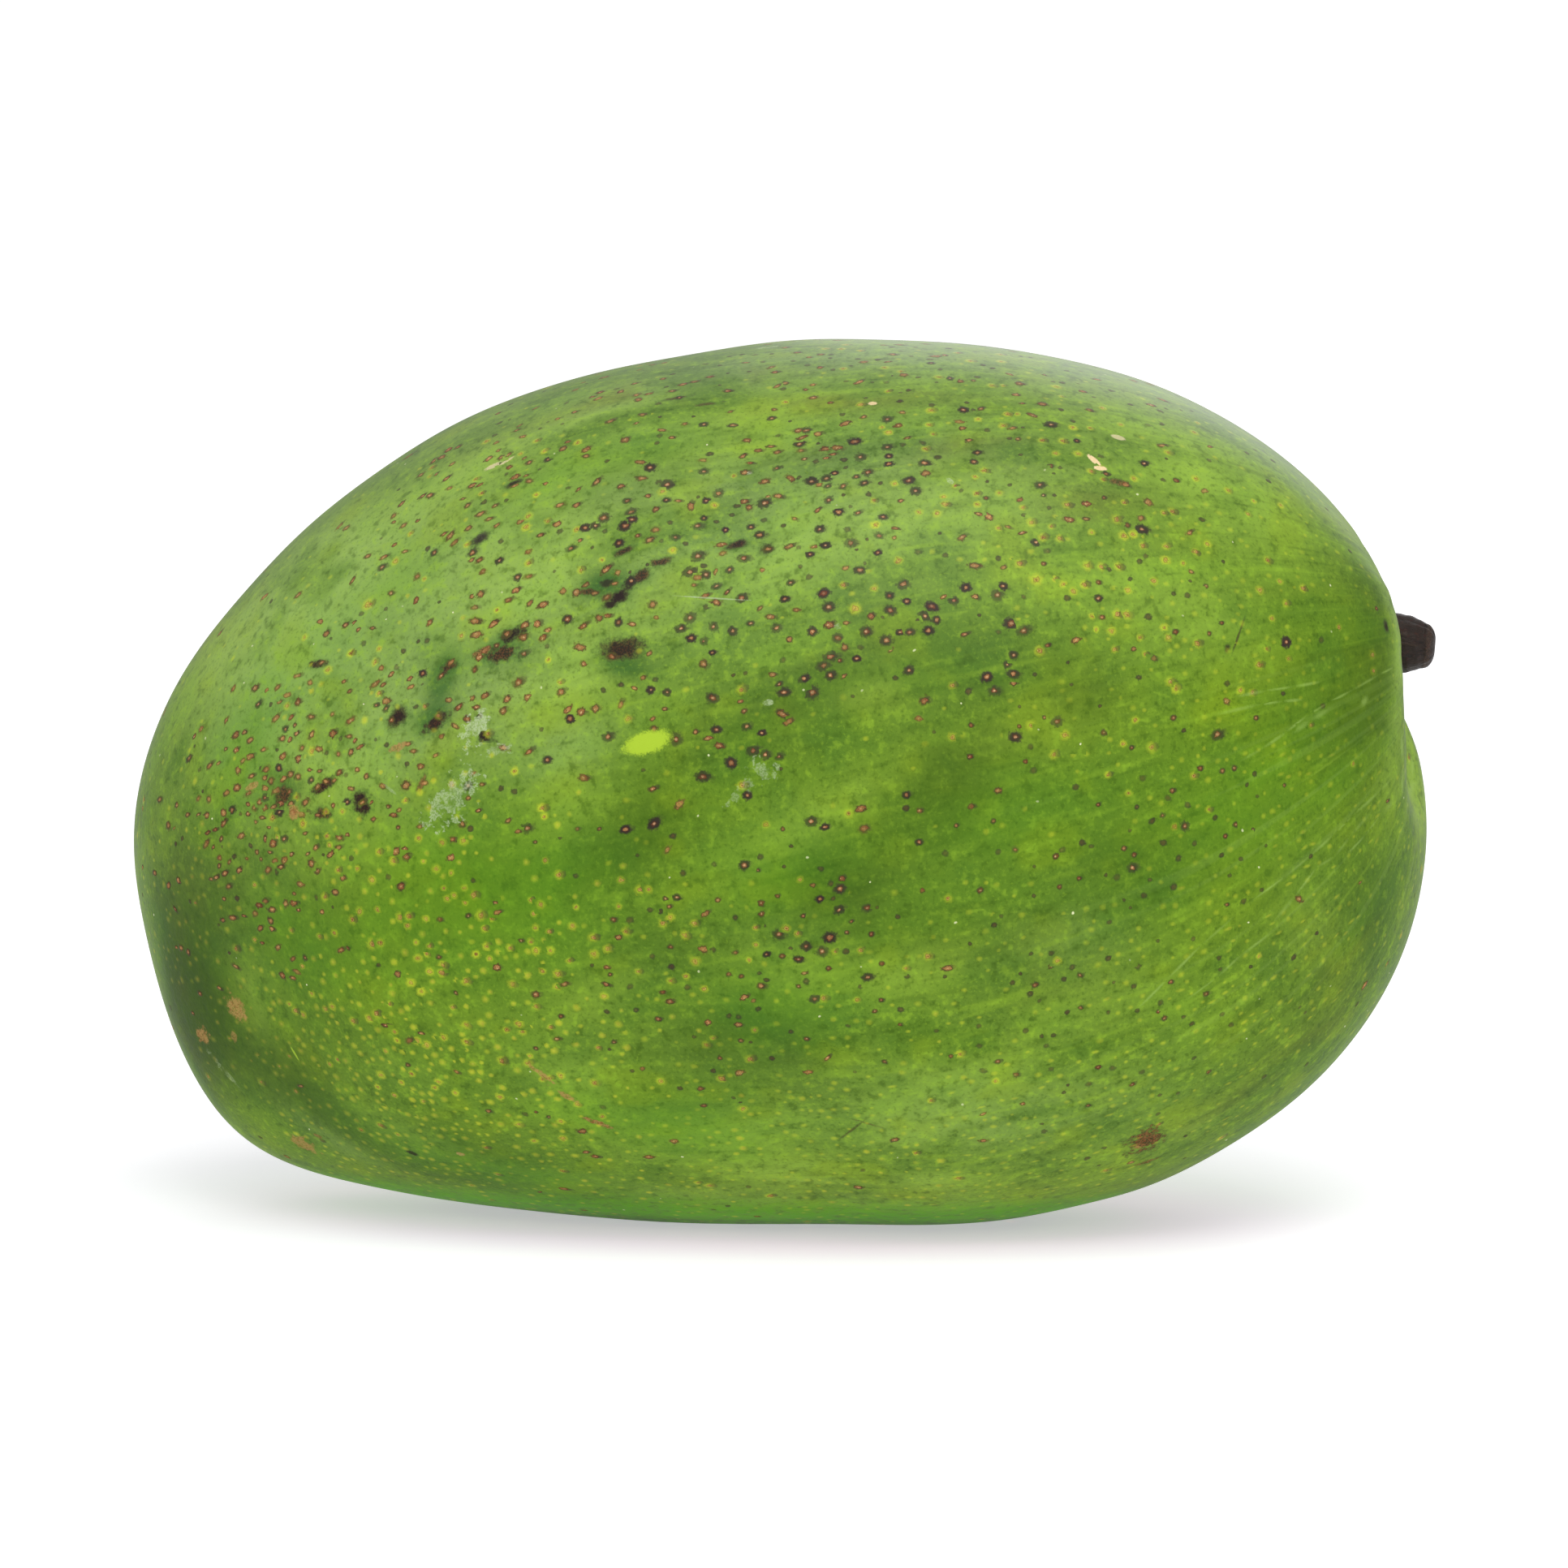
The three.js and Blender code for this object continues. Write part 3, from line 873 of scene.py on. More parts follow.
blotches = {
    "seed": 5,
    "stray": 10,
    "twinTurn": 40,
    "margin": 1.8,  # how far its torn edge reaches, in half lengths
    # at, half length, half width, tilt, ragged, then soot, scar, smear and lime; 0 where left out
    "marks": (
        ((765, 732), 1.5, 0.75, 45, 0.9, 1.0), ((752, 745), 0.9, 0.5, 10, 0.9, 0.95),
        ((724, 729), 0.8, 0.35, 0, 0.7, 0.75, 0.3), ((748, 718), 0.8, 0.5, 10, 1.0, 0.7),
        ((768, 799), 2.3, 1.15, -4, 0.6, 0.95, 0.2), ((632, 782), 1.5, 0.65, 12, 1.0, 1.0),
        ((617, 805), 1.6, 0.9, 0, 1.1, 0.85, 0.35), ((594, 803), 1.3, 0.4, 12, 0.8, 0.5, 0.8),
        ((633, 596), 1.0, 0.45, 15, 0.6, 0.9), ((592, 664), 1.1, 0.55, 30, 0.9, 0.95, 0, 0.1),
        ((945, 677), 0.72, 0.72, 5, 0.5, 0.9), ((908, 671), 1.1, 0.5, 15, 0.4, 0.95, 0.2),
        ((791, 709), 0.95, 0.7, 40, 0.4, 0.9, 0.3), ((769, 679), 1.1, 0.42, 22, 0.5, 0.9, 0.25),
        ((813, 692), 1.2, 0.45, 15, 0.7, 0.85, 0.35), ((490, 884), 1.25, 1.0, 30, 0.6, 1.0, 0.1),
        ((536, 890), 1.6, 0.8, 30, 0.9, 0.95, 0.2), ((597, 908), 1.2, 0.55, -10, 1.0, 1.0),
        ((392, 818), 1.1, 0.5, -10, 1.0, 0.9, 0.2), ((552, 822), 0.9, 0.55, 15, 1.0, 0.85, 0.3),
        ((400, 967), 1.7, 0.55, 18, 0.9, 1.0, 0.25), ((445, 990), 1.2, 1.05, -60, 1.1, 1.0, 0.1),
        ((350, 980), 1.2, 0.95, 30, 1.0, 0.8, 0.45), ((397, 1002), 1.1, 0.6, 0, 0.8, 0.85, 0.4),
        ((362, 1000), 1.0, 0.8, 30, 0.9, 0.1, 0.95), ((312, 968), 1.0, 0.45, 10, 0.7, 0, 0.9),
        ((491, 920), 1.3, 0.45, 10, 0.9, 0.1, 0.9), ((519, 966), 1.2, 0.35, 60, 0.7, 0.6, 0.6),
        ((586, 899), 1.8, 1.2, 60, 1.5, 0, 0, 1.1), ((558, 984), 2.8, 1.5, 40, 2.2, 0, 0, 0.8),
        ((612, 925), 1.2, 0.6, 10, 2.0, 0, 0, 0.6), ((941, 951), 1.3, 1.0, -20, 2.0, 0, 0, 0.6),
        ((912, 975), 1.6, 0.5, 45, 2.0, 0, 0, 0.4), ((797, 915), 2.8, 1.25, 14, 0.2, 0, 0, 0, 1.0),
        ((290, 1241), 1.5, 1.3, -60, 0.9, 0, 0.9), ((250, 1276), 1.3, 1.2, 40, 0.9, 0, 0.9),
        ((288, 1277), 0.5, 0.6, 30, 1.2, 0, 0.6), ((375, 1410), 1.6, 1.3, -25, 1.0, 0, 0.85),
        ((392, 1400), 0.6, 0.35, 20, 1.0, 0.25, 0.6), ((568, 1422), 0.5, 0.35, 0, 0.9, 0, 0.75, 0.2),
        ((508, 1421), 0.6, 0.35, 0, 0.9, 0.7), ((1412, 1406), 1.9, 2.3, 30, 1.3, 0.75, 0.90),
        ((1404, 1412), 0.8, 0.8, 10, 0.8, 0.3, 0.95), ((1412, 1432), 1.2, 0.4, 5, 1.1, 0.45, 0.6),
        ((1379, 594), 1.0, 0.5, 0, 0.7, 0.6, 0.5), ((1378, 539), 0.85, 0.45, -5, 0.1, 0, 0.2, 1.1),
        ((1348, 567), 0.95, 0.38, -62, 0.1, 0, 0.3, 1.4), ((1356, 577), 0.75, 0.34, 8, 0.1, 0, 0.3, 1.4),
        ((1075, 497), 0.5, 0.35, 0, 0.1, 0, 0.3, 1.1), ((608, 574), 1.1, 0.42, 5, 0.1, 0, 0.2, 1.2),
        ((624, 568), 1.0, 0.24, 35, 0.1, 0, 0.2, 1.1), ((925, 582), 0.4, 0.3, 40, 0.8, 0, 0, 1.1),
        ((1170, 592), 0.5, 0.25, -60, 0.8, 0, 0, 0.8), ((947, 866), 0.5, 0.35, 10, 0.9, 0, 0, 0.8),
        ((1033, 772), 0.45, 0.35, 20, 0.9, 0, 0, 0.8), ((877, 737), 4.0, 0.10, -9, 0.15, 0, 0, 0.9),
        ((1526, 783), 2.0, 0.13, 62, 0.5, 0.55, 0.1), ((1512, 799), 0.5, 0.3, 60, 0.6, 0.7),
        ((668, 1324), 1.9, 0.34, -42, 0.9, 0.05, 0.9), ((697, 1350), 1.7, 0.36, -42, 0.9, 0.1, 0.9),
        ((738, 1384), 1.8, 0.40, -30, 0.8, 0.3, 1.0), ((1050, 1392), 2.4, 0.16, 60, 0.5, 0.45, 0.15),
        ((1068, 1384), 1.6, 0.14, -25, 0.5, 0.35, 0.2), ((270, 1312), 3.2, 0.45, -38, 0.9, 0, 0, 0.45),
        ((363, 1298), 1.0, 0.16, -72, 0.3, 0, 0, 0.1, 0.7), ((945, 428), 1.3, 0.5, 0, 0.8, 0, 0, 0.9),
        ((1708, 772), 0.7, 0.45, 80, 0.5, 0.8), ((870, 498), 1.4, 0.3, 6, 1.0, 0.5, 0.2),
        ((835, 490), 1.4, 0.3, 8, 1.0, 0.5, 0.2), ((480, 972), 1.0, 0.16, -32, 0.3, 0, 0, 0.5),
    ),
}


def layBlotches():
    rng = np.random.default_rng(blotches["seed"])
    made = []
    for pixel, length, width, tilt, ragged, *share in blotches["marks"]:
        near = placeAt(pixel)
        far = twin(near[0], rng, blotches["stray"])
        soot, scar, smear, lime = (share + [0, 0, 0])[:4]
        for (point, normal), turn in ((near, tilt), (far, tilt + rng.normal() * blotches["twinTurn"])):
            first, second = acrossPicture(normal, turn)
            made.append({
                "point": point,
                "first": first / length,
                "second": second / width,
                "reach": max(length, width) * blotches["margin"],
                "amounts": (soot, scar, smear),
                "tones": (lime, ragged, rng.random()),
                "third": 0,  # only a streak's strength
            })
    return made


streaks = {
    "seed": 3,
    "strength": 0.36,
    "strengths": (0.5, 1.2),
    "widths": (1.6, 2.8),
    "ragged": 0.15,
    "stretch": 0.62,  # its reach from its middle, as a share of its length; past half, so that two join
    "margin": 0.7,  # how far from its middle faces are looked for, as the same share
    # half width, then the pixels that it runs through
    "paths": (
        (0.10, (
            (1718, 822), (1700, 831), (1667, 850), (1635, 867),
            (1610, 882), (1585, 902), (1556, 922), (1528, 938),
        )),
        (0.16, ((1640, 872), (1615, 888), (1592, 903))),
        (0.10, ((1627, 840), (1595, 846), (1560, 851), (1524, 858))),
        (0.12, ((1606, 862), (1580, 864), (1552, 868), (1500, 880))),
        (0.10, (
            (1716, 958), (1700, 975), (1668, 1004), (1642, 1030),
            (1617, 1052), (1584, 1080), (1545, 1108),
        )),
        (0.10, ((1520, 1130), (1480, 1165), (1440, 1205), (1400, 1245))),
        (0.13, ((1690, 1000), (1664, 1030), (1645, 1055), (1622, 1069), (1596, 1104), (1570, 1135))),
        (0.09, ((1700, 1005), (1682, 1030), (1660, 1052))),
        (0.10, ((1566, 1150), (1530, 1176), (1500, 1204), (1462, 1232))),
        (0.22, ((1718, 985), (1706, 1000))),
        (0.24, ((1686, 858), (1676, 870))),
        # these last two paint the highlight down the edge of the belly groove
        (0.30, ((1727, 900), (1728, 940), (1728, 985))),
        (0.28, ((1740, 930), (1741, 960), (1736, 985))),
    ),
}


def layStreaks():
    rng = np.random.default_rng(streaks["seed"])
    made = []
    for width, pixels in streaks["paths"]:
        for start, end in zip(pixels, pixels[1:]):
            one, _ = placeAt(start)
            other, _ = placeAt(end)
            middle, normal = placeAt(((start[0] + end[0]) / 2, (start[1] + end[1]) / 2))
            length = np.linalg.norm(other - one)
            first = unit(other - one)
            second = np.cross(normal, first)
            made.append({
                "point": middle,
                "first": first / (length * streaks["stretch"]),
                "second": second / (width * rng.uniform(*streaks["widths"])),
                "reach": length * streaks["margin"],
                "amounts": (0, 0, 0),
                "tones": (0, streaks["ragged"], rng.random()),
                "third": streaks["strength"] * rng.uniform(*streaks["strengths"]),
            })
    return made


blotchMarks = layBlotches() + layStreaks()
pressMarks("blotch", blotchMarks)
print("fruit: blotches pressed,", len(blotchMarks))

# The skin's finish

skinFinish = {
    "mid": paint(100, 132, 36),
    "deep": paint(70, 109, 26),
    "bright": paint(126, 166, 44),
    "glow": paint(150, 186, 50),
    # pale wax bloom, partly a painted sheen
    "bloomAndPaintedSheen": paint(160, 182, 138),
    # light, shade and dark are partly the skin's own greens and partly painted light and shade
    "light": paint(148, 182, 66),
    "shade": paint(47, 76, 15),
    "dark": paint(42, 60, 10),
    "yellow": paint(140, 164, 22),
    "blue": paint(36, 84, 34),
    "brown": paint(92, 84, 30),
    "streak": paint(158, 188, 96),
    "haloYellow": paint(198, 206, 54),
    "ringDark": paint(54, 33, 42),
    "speckGreen": paint(38, 58, 16),
    "coreTan": paint(206, 148, 90),
    "coreRed": paint(140, 74, 46),
    "coreRim": paint(78, 40, 32),
    "pinPale": paint(228, 186, 140),
    "pinBrown": paint(86, 42, 22),
    "dust": paint(218, 224, 172),
    "soot": paint(38, 24, 28),
    "sootEdge": paint(66, 48, 40),
    "scarTan": paint(178, 138, 84),
    "scarRed": paint(128, 66, 42),
    "smear": paint(178, 194, 152),
    "flake": paint(246, 220, 172),
    "lime": paint(167, 197, 54),
    # green of the painted light from the floor
    "paintedFloorLight": paint(94, 172, 14),
    "vivid": paint(68, 136, 18),
    "roughness": 0.46,
    "specular": 0.05,
    "waxOnTop": 0.56,  # the skin's wax catches the light on its upper side
    "waxInBloom": 0.10,
    "waxRoughness": 0.38,
    "waxIor": 1.36,  # low, so that the wax pales the skin only where it turns away
}


def fruitMaterial():
    material, wire, shader = newMaterial("mangoSkin")
    look = dict(skinFinish)
    place = objectPlace(wire)
    grain = wire.attribute("grain")
    patches = wire.attribute("clouds")
    warm = wire.attribute("tintWarm")
    cool = wire.attribute("tintCool")
    shares = wire.attribute("shares")
    broad = patches.part(0)
    cloudy = patches.part(1)
    hue = patches.part(2)
    mottle = place.noise(0.85, 2.0, 0.62)
    fine = place.noise(2.9, 1.0, 0.6)
    fibre = grain.stretched((0.9, 0.9, 0.14)).noise(1.0, 1.0, 0.6)
    fromStalk = grain.part(2)
    fibrous = fromStalk.fade(104.0, 60.0)  # fades out towards the blunt end
    uneven = cloudy * 0.18 + mottle * 0.8 + 0.6  # about 1, so that a tint's edge is broken
    dim = (1 - warm.part(1) * 0.6).highest(0.25)  # keeps the lighter patches down where the skin is shaded
    nearFloor = shares.part(1)
    streakNoise = grain.stretched((0.85, 0.85, 0.035)).noise(1.0, 1.0, 0.5)
    lower = grain.part(0).fade(20.0, -25.0)
    streak = streakNoise.fade(0.60, 0.72) * fromStalk.fade(52.0, 20.0) * fromStalk.fade(2.0, 9.0) * lower

    # the green itself, from broad to fine, with painted light, shade and sheen among the tints, then
    # painted light from the floor with a painted contact shadow under it, and the streaks below the stalk
    base = wire.colour(look["mid"]).layered((
        (broad.fade(0.0, 2.2), 0.24, "bright"),
        (broad.fade(0.0, -2.2), 0.24, "deep"),
        # of these tints, shaded and light are partly painted shade and light, and bloom is partly a painted
        # sheen
        ((warm.part(2) * uneven).lowest(1.0), 0.75, "yellow"),
        ((warm.part(1) * uneven).lowest(1.0), 0.76, "shade"),
        ((warm.part(0) * uneven).lowest(1.0), 0.72, "light"),
        ((cool.part(2) * uneven).lowest(1.0), 0.24, "bloomAndPaintedSheen"),
        ((cool.part(0) * uneven).lowest(1.0), 0.72, "blue"),
        ((cool.part(1) * cloudy.fade(-1.0, 1.0)).lowest(1.0), 0.70, "brown"),
        (cloudy.fade(0.1, 2.2) * dim, 0.36, "bright"),
        (cloudy.fade(-0.1, -2.2), 0.36, "deep"),
        (hue.fade(0.2, 2.2) * dim, 0.30, "yellow"),
        (hue.fade(-0.3, -2.4), 0.24, "blue"),
        (mottle.fade(0.52, 0.74) * dim, 0.42, "glow"),
        (mottle.fade(0.47, 0.27), 0.46, "shade"),
        (fibre.fade(0.54, 0.80) * fibrous * dim, 0.32, "glow"),
        (fibre.fade(0.45, 0.25) * fibrous, 0.26, "shade"),
        (fine.fade(0.56, 0.78) * dim, 0.26, "glow"),
        (fine.fade(0.44, 0.26), 0.30, "shade"),
        ((shares.part(2) * uneven).lowest(1.0), 0.40, "vivid"),
        # painted light from the floor along the bottom, then a painted contact shadow where the skin meets
        # the floor
        (nearFloor.fade(0, 0.64) * mottle.fade(0.25, 0.6, 0.4, 1.0), 0.80, "paintedFloorLight"),
        (nearFloor.fade(0.66, 0.92) * mottle.fade(0.3, 0.6, 1.0, 0.5), 0.62, "dark"),
        # the most shaded patches darker still, partly the skin's own deep green and partly painted shade
        (warm.part(1).fade(0.9, 2.4), 0.50, "dark"),
        (streak, 0.10, "streak"),
    ), look)

    # soot in ragged blotches
    blotchOffset = wire.attribute("blotchOffset")
    blotchAmounts = wire.attribute("blotchAmounts")
    blotchTones = wire.attribute("blotchTones")
    sooty = blotchAmounts.part(0)
    scarred = blotchAmounts.part(1)
    torn = place.noise(1.1, 2.0, 0.65)
    gritty = place.noise(5.5, 1.0, 0.6)
    spread = blotchOffset.part(0).hypotenuse(blotchOffset.part(1))
    spread = spread + (torn - 0.5) * blotchTones.part(1) * 2.2 + (gritty - 0.5) * 0.5
    soot = spread.fade(1.05, 0.35) * sooty
    base = base.layered((
        (spread.fade(1.8, 0.7) * sooty, 0.45, "blue"),
        (spread.fade(1.3, 0.6) * sooty, 0.60, "sootEdge"),
        (soot, 0.92, "soot"),
    ), look)

    # freckles, each with a halo, a dark ring, a smudge towards the stalk, a corky core and a pinpoint
    offset = wire.attribute("freckleOffset")
    amounts = wire.attribute("freckleAmounts")
    tones = wire.attribute("freckleTones")
    dark = amounts.part(0)
    corky = amounts.part(2)
    across = offset.part(0)
    down = offset.part(1)
    plainAway = across.hypotenuse(down)
    away = plainAway * (fine * 0.8 + gritty * 0.5 + 0.35)
    inCore = plainAway * (fine * 1.3 + gritty * 0.9 - 0.1) / (offset.part(2) + 0.001)
    ring = away.fade(1.28, 0.70) * dark
    beside = (across + 0.75).hypotenuse(down)
    smudge = (beside * (fine * 0.8 + gritty * 0.4 + 0.4)).fade(1.0, 0.5) * tones.part(1).fade(0.40, 0.6)
    core = inCore.fade(1.15, 0.75) * corky
    coreEdge = inCore.fade(1.55, 1.15) * inCore.fade(0.55, 0.95) * corky
    ruddy = (tones.part(0) + gritty * 0.4 - 0.2).lowest(1.0).highest(0.0)
    pinTone = wire.blend(dark.fade(0.3, 0.6), look["pinBrown"], look["pinPale"])
    look["ringTone"] = wire.blend(tones.part(1) * 0.30, look["ringDark"], look["speckGreen"])
    look["coreTone"] = wire.blend(ruddy, look["coreTan"], look["coreRed"])
    look["pinTone"] = wire.blend(tones.part(0).fade(1.2, 1.4), pinTone, look["dust"])
    base = base.layered((
        (away.fade(1.40, 0.25) * amounts.part(1) * dim, 0.82, "haloYellow"),
        (smudge * corky * (1 - dark * 0.6), 0.85, "ringDark"),
        (ring, 0.95, "ringTone"),
        (coreEdge, 0.75, "coreRim"),
        (core * gritty.fade(0.60, 0.46, 0.45, 0.92), 1.0, "coreTone"),
        (core * gritty.fade(0.52, 0.36), 0.75, "coreRim"),
        (core * gritty.fade(0.58, 0.68) * fine.fade(0.42, 0.56), 0.75, "pinPale"),
        (away.fade(0.26, 0.12) * tones.part(2), 1.0, "pinTone"),
    ), look)

    # smears, streaks, the lime patch and scars
    mask = spread.fade(1.05, 0.65)
    bits = (gritty - sooty * 0.14).fade(0.34, 0.46).highest(0.4 - sooty * 0.4)  # only small bits in soot
    scar = mask * scarred * bits
    thin = torn.fade(0.62, 0.40, 0.1, 1.0) * gritty.fade(0.62, 0.40, 0.35, 1.0)  # of a ragged smear only
    smear = mask * blotchAmounts.part(2) * thin.highest(1 - blotchTones.part(1) * 2)
    ruddy = (fine.fade(0.50, 0.66) * 0.6 + sooty * 0.9).lowest(1.0)
    look["scarTone"] = wire.blend(ruddy, look["scarTan"], look["scarRed"])
    look["smearTone"] = wire.blend(scarred.fade(0.1, 0.3), look["smear"], look["flake"])
    base = base.layered((
        (smear.lowest(1.0) * scarred.fade(0.1, 0.3, 0.72, 0.95), 1.0, "smearTone"),
        (spread.fade(1.0, 0.0) * blotchOffset.part(2), 1.0, "streak"),
        (mask * blotchTones.part(0), 0.92, "lime"),
        (scar, 0.80, "scarTone"),
    ), look)
    plug(base, shader, "Base Color")

    cork = (ring * 0.4 + core + soot * 0.8 + scar + smear * 0.8).lowest(1.0)
    plug(look["roughness"] + (mottle - 0.5) * 0.16 + cork * 0.34, shader, "Roughness")
    swollen = plainAway.fade(1.2, 0.5) * (dark + corky) * 0.05
    pit = plainAway.fade(0.30, 0.10) * tones.part(2) * 0.05
    plugBump(swollen - pit + fine * 0.022 + mottle * 0.05, shader)
    wax = shares.part(0) * look["waxOnTop"] + cool.part(2) * look["waxInBloom"]
    plug(wax.lowest(1.0), shader, "Coat Weight")
    shader.inputs["Specular IOR Level"].default_value = look["specular"]
    shader.inputs["Coat Roughness"].default_value = look["waxRoughness"]
    shader.inputs["Coat IOR"].default_value = look["waxIor"]
    return material


fruitMesh.materials.append(fruitMaterial())
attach(fruit, "root")
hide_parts("mango_fruit")
print("fruit: finished")

# The stalk stub

stalkForm = {
    "droop": 7,
    "turn": 4,
    "reach": 5.8,
    # distance along it and radius
    "profile": (
        (-2.2, 2.2), (-0.6, 2.95), (0.5, 3.05), (2.0, 3.02), (3.0, 2.95), (3.8, 2.78), (4.5, 2.52),
        (4.9, 2.34), (5.3, 2.22), (5.65, 2.0), (5.95, 1.65), (6.12, 1.25), (6.2, 0.85), (6.2, 0.3),
    ),
    "rise": 0.12,  # how far its end rises from its axis
    "sides": 120,
    "steps": 90,
    "ridges": 0.09,
    "ridgeCounts": (3, 5, 7, 11, 16),  # round it
    "twist": 0.12,
    "ringLengths": (1.1, 1.9),
    "rings": 0.25,
    "slant": 0.12,  # of the cut end
    "cutFrom": 5,
    "rounding": 3,  # passes
    "seed": 9,
    "bark": paint(40, 29, 23),
    "barkLight": paint(88, 66, 50),
    "barkRed": paint(62, 34, 28),
    "barkDark": paint(16, 12, 10),
    "roughness": 0.5,
    "specular": 0.22,
}


def makeStalk():
    form = stalkForm
    rng = np.random.default_rng(form["seed"])
    profile = np.array(form["profile"])
    gaps = np.hypot(*np.diff(profile, axis=0).T)
    travelled = np.concatenate([[0], np.cumsum(gaps)])
    wanted = np.linspace(0, travelled[-1], form["steps"])
    along = np.interp(wanted, travelled, profile[:, 0])
    radius = np.interp(wanted, travelled, profile[:, 1])
    for _ in range(form["rounding"]):
        for line in (radius, along):
            line[1:-1] = (line[:-2] + 2 * line[1:-1] + line[2:]) / 4
    around = np.arange(form["sides"]) / form["sides"] * 2 * math.pi
    turn, step = np.meshgrid(around, np.arange(form["steps"]), indexing="xy")
    reach = along[step]
    swell = np.zeros_like(reach)
    for count in form["ridgeCounts"]:
        phase = rng.uniform(0, 2 * math.pi)
        twist = rng.uniform(-form["twist"], form["twist"])
        swell += np.cos(count * turn + phase + twist * reach) / math.sqrt(count)
    for length in form["ringLengths"]:
        swell += form["rings"] * np.cos(2 * math.pi * reach / length + 2 * np.cos(2 * turn + length))
    inside = np.clip(radius[step] / 2.0, 0, 1)  # less at the middle of the cut end
    wide = radius[step] + form["ridges"] * swell * inside
    rise = form["rise"] * np.clip(reach / form["reach"], 0, 1.2) ** 2
    slant = form["slant"] * np.cos(turn + 1.0) * inside * (reach > form["cutFrom"])
    local = np.stack([reach + slant, wide * np.cos(turn), wide * np.sin(turn) + rise], -1)
    tip = np.array([[along[-1], 0, form["rise"]]])
    points = np.concatenate([local.reshape(-1, 3), tip])
    index = np.arange(form["steps"] * form["sides"]).reshape(form["steps"], form["sides"])
    following = np.roll(index, -1, axis=1)
    quads = np.stack([index[:-1], following[:-1], following[1:], index[1:]], -1).reshape(-1, 4)
    last = index[-1]
    caps = np.stack([last, np.roll(last, -1), np.full(form["sides"], len(points) - 1)], -1)
    droop = math.radians(form["droop"])
    turned = math.radians(form["turn"])
    level = math.cos(droop)
    forward = np.array([level * math.cos(turned), level * math.sin(turned), -math.sin(droop)])
    side = np.array([-math.sin(turned), math.cos(turned), 0])
    upward = np.cross(forward, side)
    foot = skinPoints(stalkDirection)[0] + shift
    world = (foot + points @ np.array([forward, side, upward])) * millimetre
    mesh = bpy.data.meshes.new("stalkStub")
    mesh.from_pydata(world.tolist(), [], quads.tolist() + caps.tolist())
    mesh.update()
    mesh.shade_smooth()
    facing = np.arctan2(points[:, 2], points[:, 1])
    barkRadius = 3
    bark = np.column_stack([np.cos(facing) * barkRadius, np.sin(facing) * barkRadius, points[:, 0]])
    storeVectors(mesh, "barkPlace", "POINT", bark)
    return addObject("stalkStub", mesh)


def stalkMaterial():
    material, wire, shader = newMaterial("stalkBark")
    look = stalkForm
    place = objectPlace(wire)
    bark = wire.attribute("barkPlace")
    ridge = bark.stretched((1.2, 1.2, 0.3)).noise(1.0, 4.0, 0.65, 0.4)
    flake = place.noise(1.4, 4.0, 0.65)
    grit = place.noise(7.0, 3.0, 0.6)
    rim = bark.part(2).fade(5.1, 5.35) * bark.part(2).fade(5.9, 5.6)
    base = wire.colour(look["bark"]).layered((
        (ridge.fade(0.46, 0.30), 0.8, "barkDark"),
        (flake.fade(0.52, 0.68), 0.6, "barkRed"),
        (ridge.fade(0.55, 0.76), 0.7, "barkLight"),
        (rim * grit.fade(0.35, 0.6), 0.4, "barkLight"),
        (grit.fade(0.60, 0.75), 0.4, "barkLight"),
    ), look)
    plug(base, shader, "Base Color")
    plug(look["roughness"] + (flake - 0.5) * 0.3, shader, "Roughness")
    plugBump(ridge * 0.40 + grit * 0.04 + flake * 0.08 + rim * 0.05, shader)
    shader.inputs["Specular IOR Level"].default_value = look["specular"]
    return material


stalk = makeStalk()
stalk.data.materials.append(stalkMaterial())
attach(stalk, "root")
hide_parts("stalk_stub")
print("stalk: finished")

# Floor and light

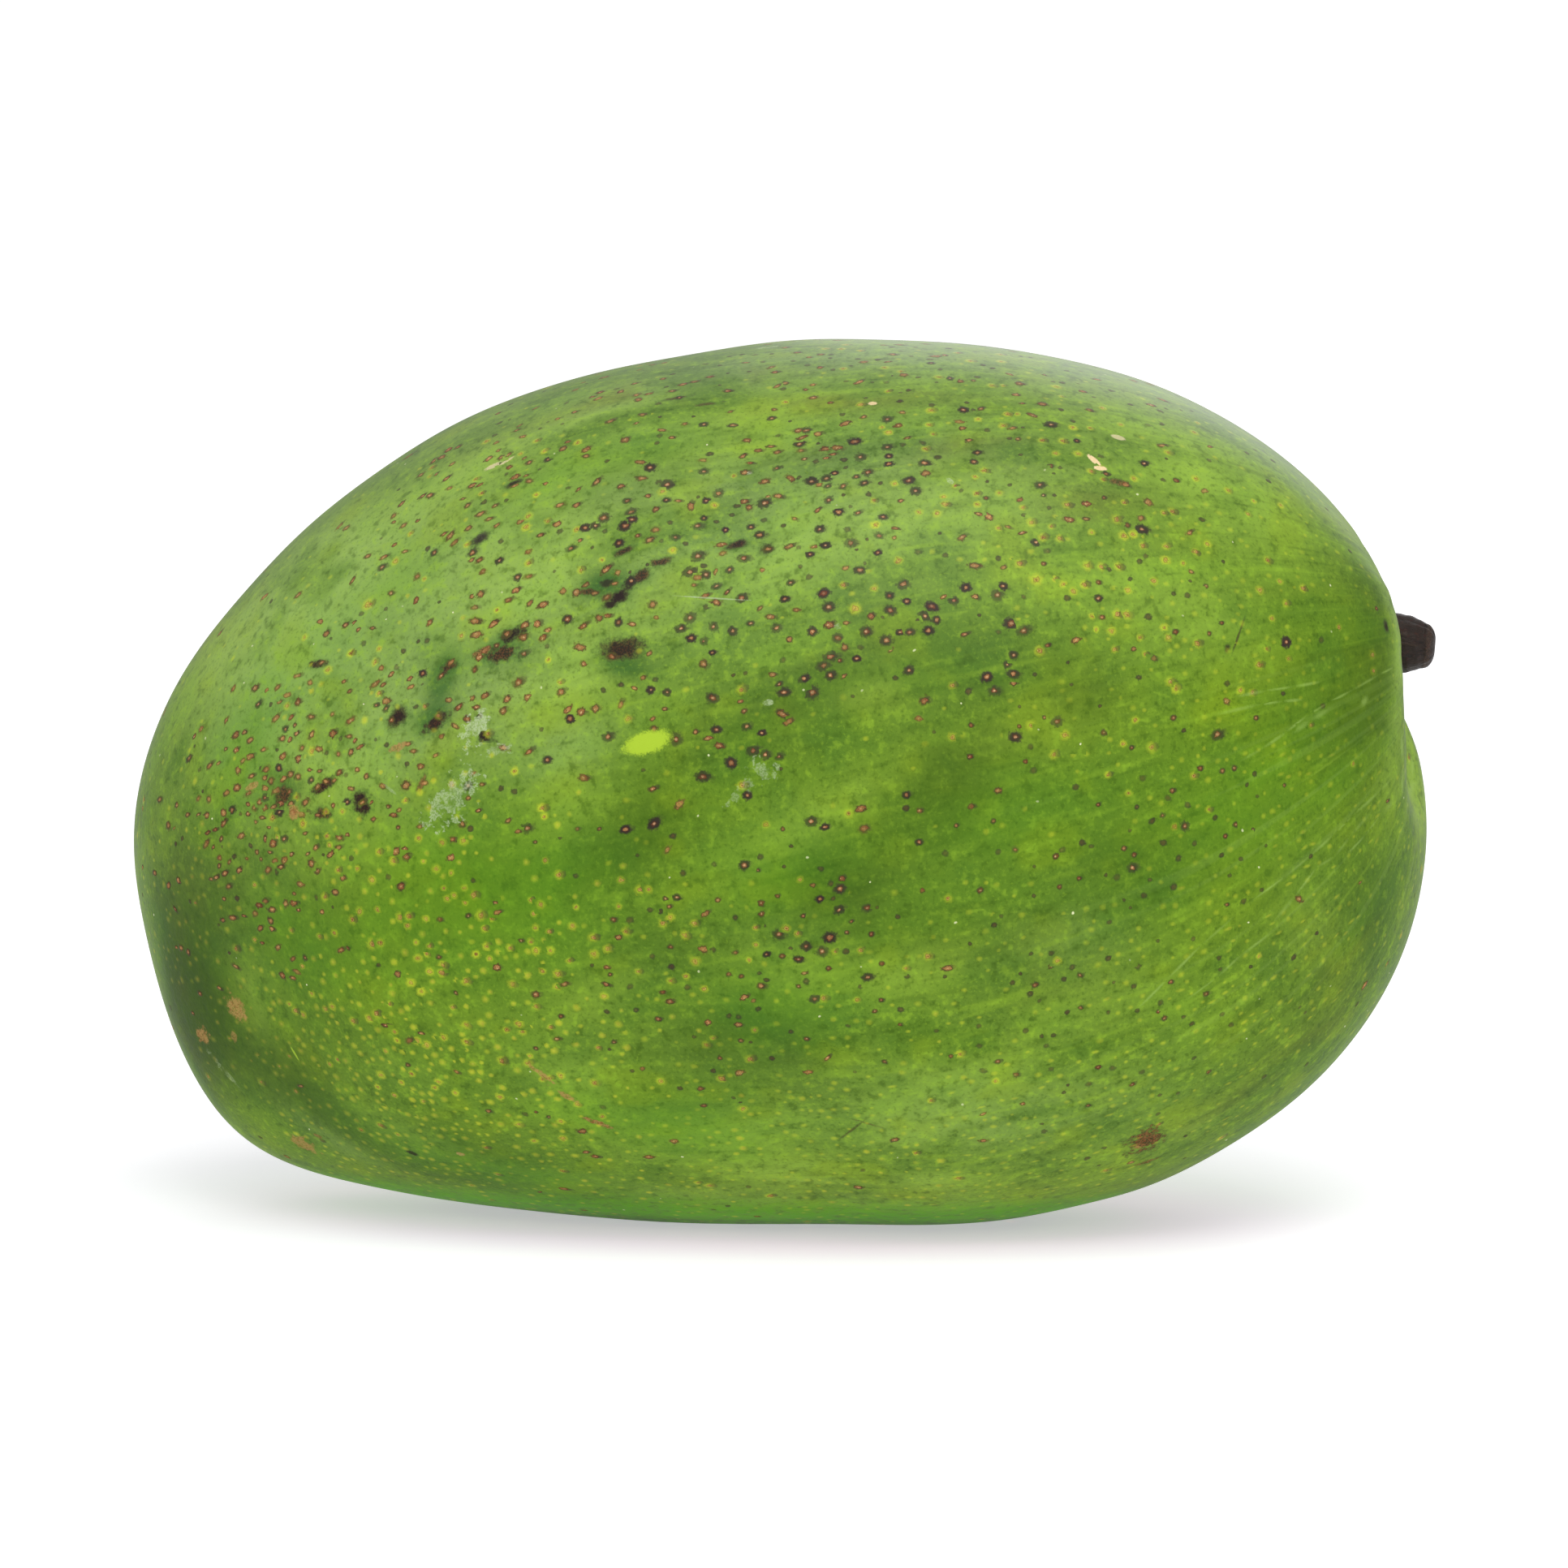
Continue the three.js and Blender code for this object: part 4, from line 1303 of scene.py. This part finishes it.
studio = {
    "floorSize": 60,  # metres
    "floorTone": (0.80, 0.795, 0.80, 1),
    "floorNear": (0.82, 0.50, 0.82, 1),  # pinker, against the green that the fruit casts
    "nearReach": (0.03, 0.09),  # metres, where the near tone fades into the other
    "nearShape": (1.35, 2.4, 1.0),  # draws that fading in, most of all in depth
    "glowNear": (0.43, 0.43, 0.455, 1),
    "glowFar": (0.66, 0.66, 0.66, 1),
    "glowReach": (0.25, 1.6),  # metres, where the near glow ends and where the far glow starts
    "floorRoughness": 0.9,
    "skyGlow": 0.50,
    "aim": (0, 0, 0.04),  # metres, where the lamps point
    # name, place in metres, size in metres, watts
    "lamps": (
        ("overhead", (0.25, -0.50, 1.05), 0.8, 5.5),
        ("front", (0.15, -1.00, 0.80), 0.8, 4.5),
        ("backPanel", (0.15, 0.95, 0.55), 0.7, 2.2),
    ),
}


def makeFloor():
    half = studio["floorSize"] / 2
    mesh = bpy.data.meshes.new("paleFloor")
    corners = [(-half, -half, 0), (half, -half, 0), (half, half, 0), (-half, half, 0)]
    mesh.from_pydata(corners, [], [(0, 1, 2, 3)])
    material, wire, shader = newMaterial("paleFloor")
    place = wire.node("ShaderNodeTexCoord", None, None, "Object")
    farShare = place.length().fade(*studio["glowReach"])
    plug(wire.blend(farShare, studio["glowNear"], studio["glowFar"]), shader, "Emission Color")
    farShare = place.stretched(studio["nearShape"]).length().fade(*studio["nearReach"])
    plug(wire.blend(farShare, studio["floorNear"], studio["floorTone"]), shader, "Base Color")
    shader.inputs["Roughness"].default_value = studio["floorRoughness"]
    shader.inputs["Specular IOR Level"].default_value = 0.0
    shader.inputs["Emission Strength"].default_value = 1.0
    mesh.materials.append(material)
    floor = addObject("paleFloor", mesh)


def makeLights():
    world = bpy.data.worlds.new("studioSky")
    bpy.context.scene.world = world
    world.use_nodes = True
    sky = world.node_tree.nodes["Background"]
    sky.inputs["Color"].default_value = (1, 1, 1, 1)
    sky.inputs["Strength"].default_value = studio["skyGlow"]
    for name, place, size, watts in studio["lamps"]:
        data = bpy.data.lights.new(name, "AREA")
        data.size = size
        data.energy = watts
        lamp = addObject(name, data)
        lamp.location = place
        lamp.rotation_euler = (Vector(studio["aim"]) - Vector(place)).to_track_quat("-Z", "Y").to_euler()


makeFloor()
makeLights()
bpy.context.scene.view_settings.view_transform = "Standard"
print("studio: lit")
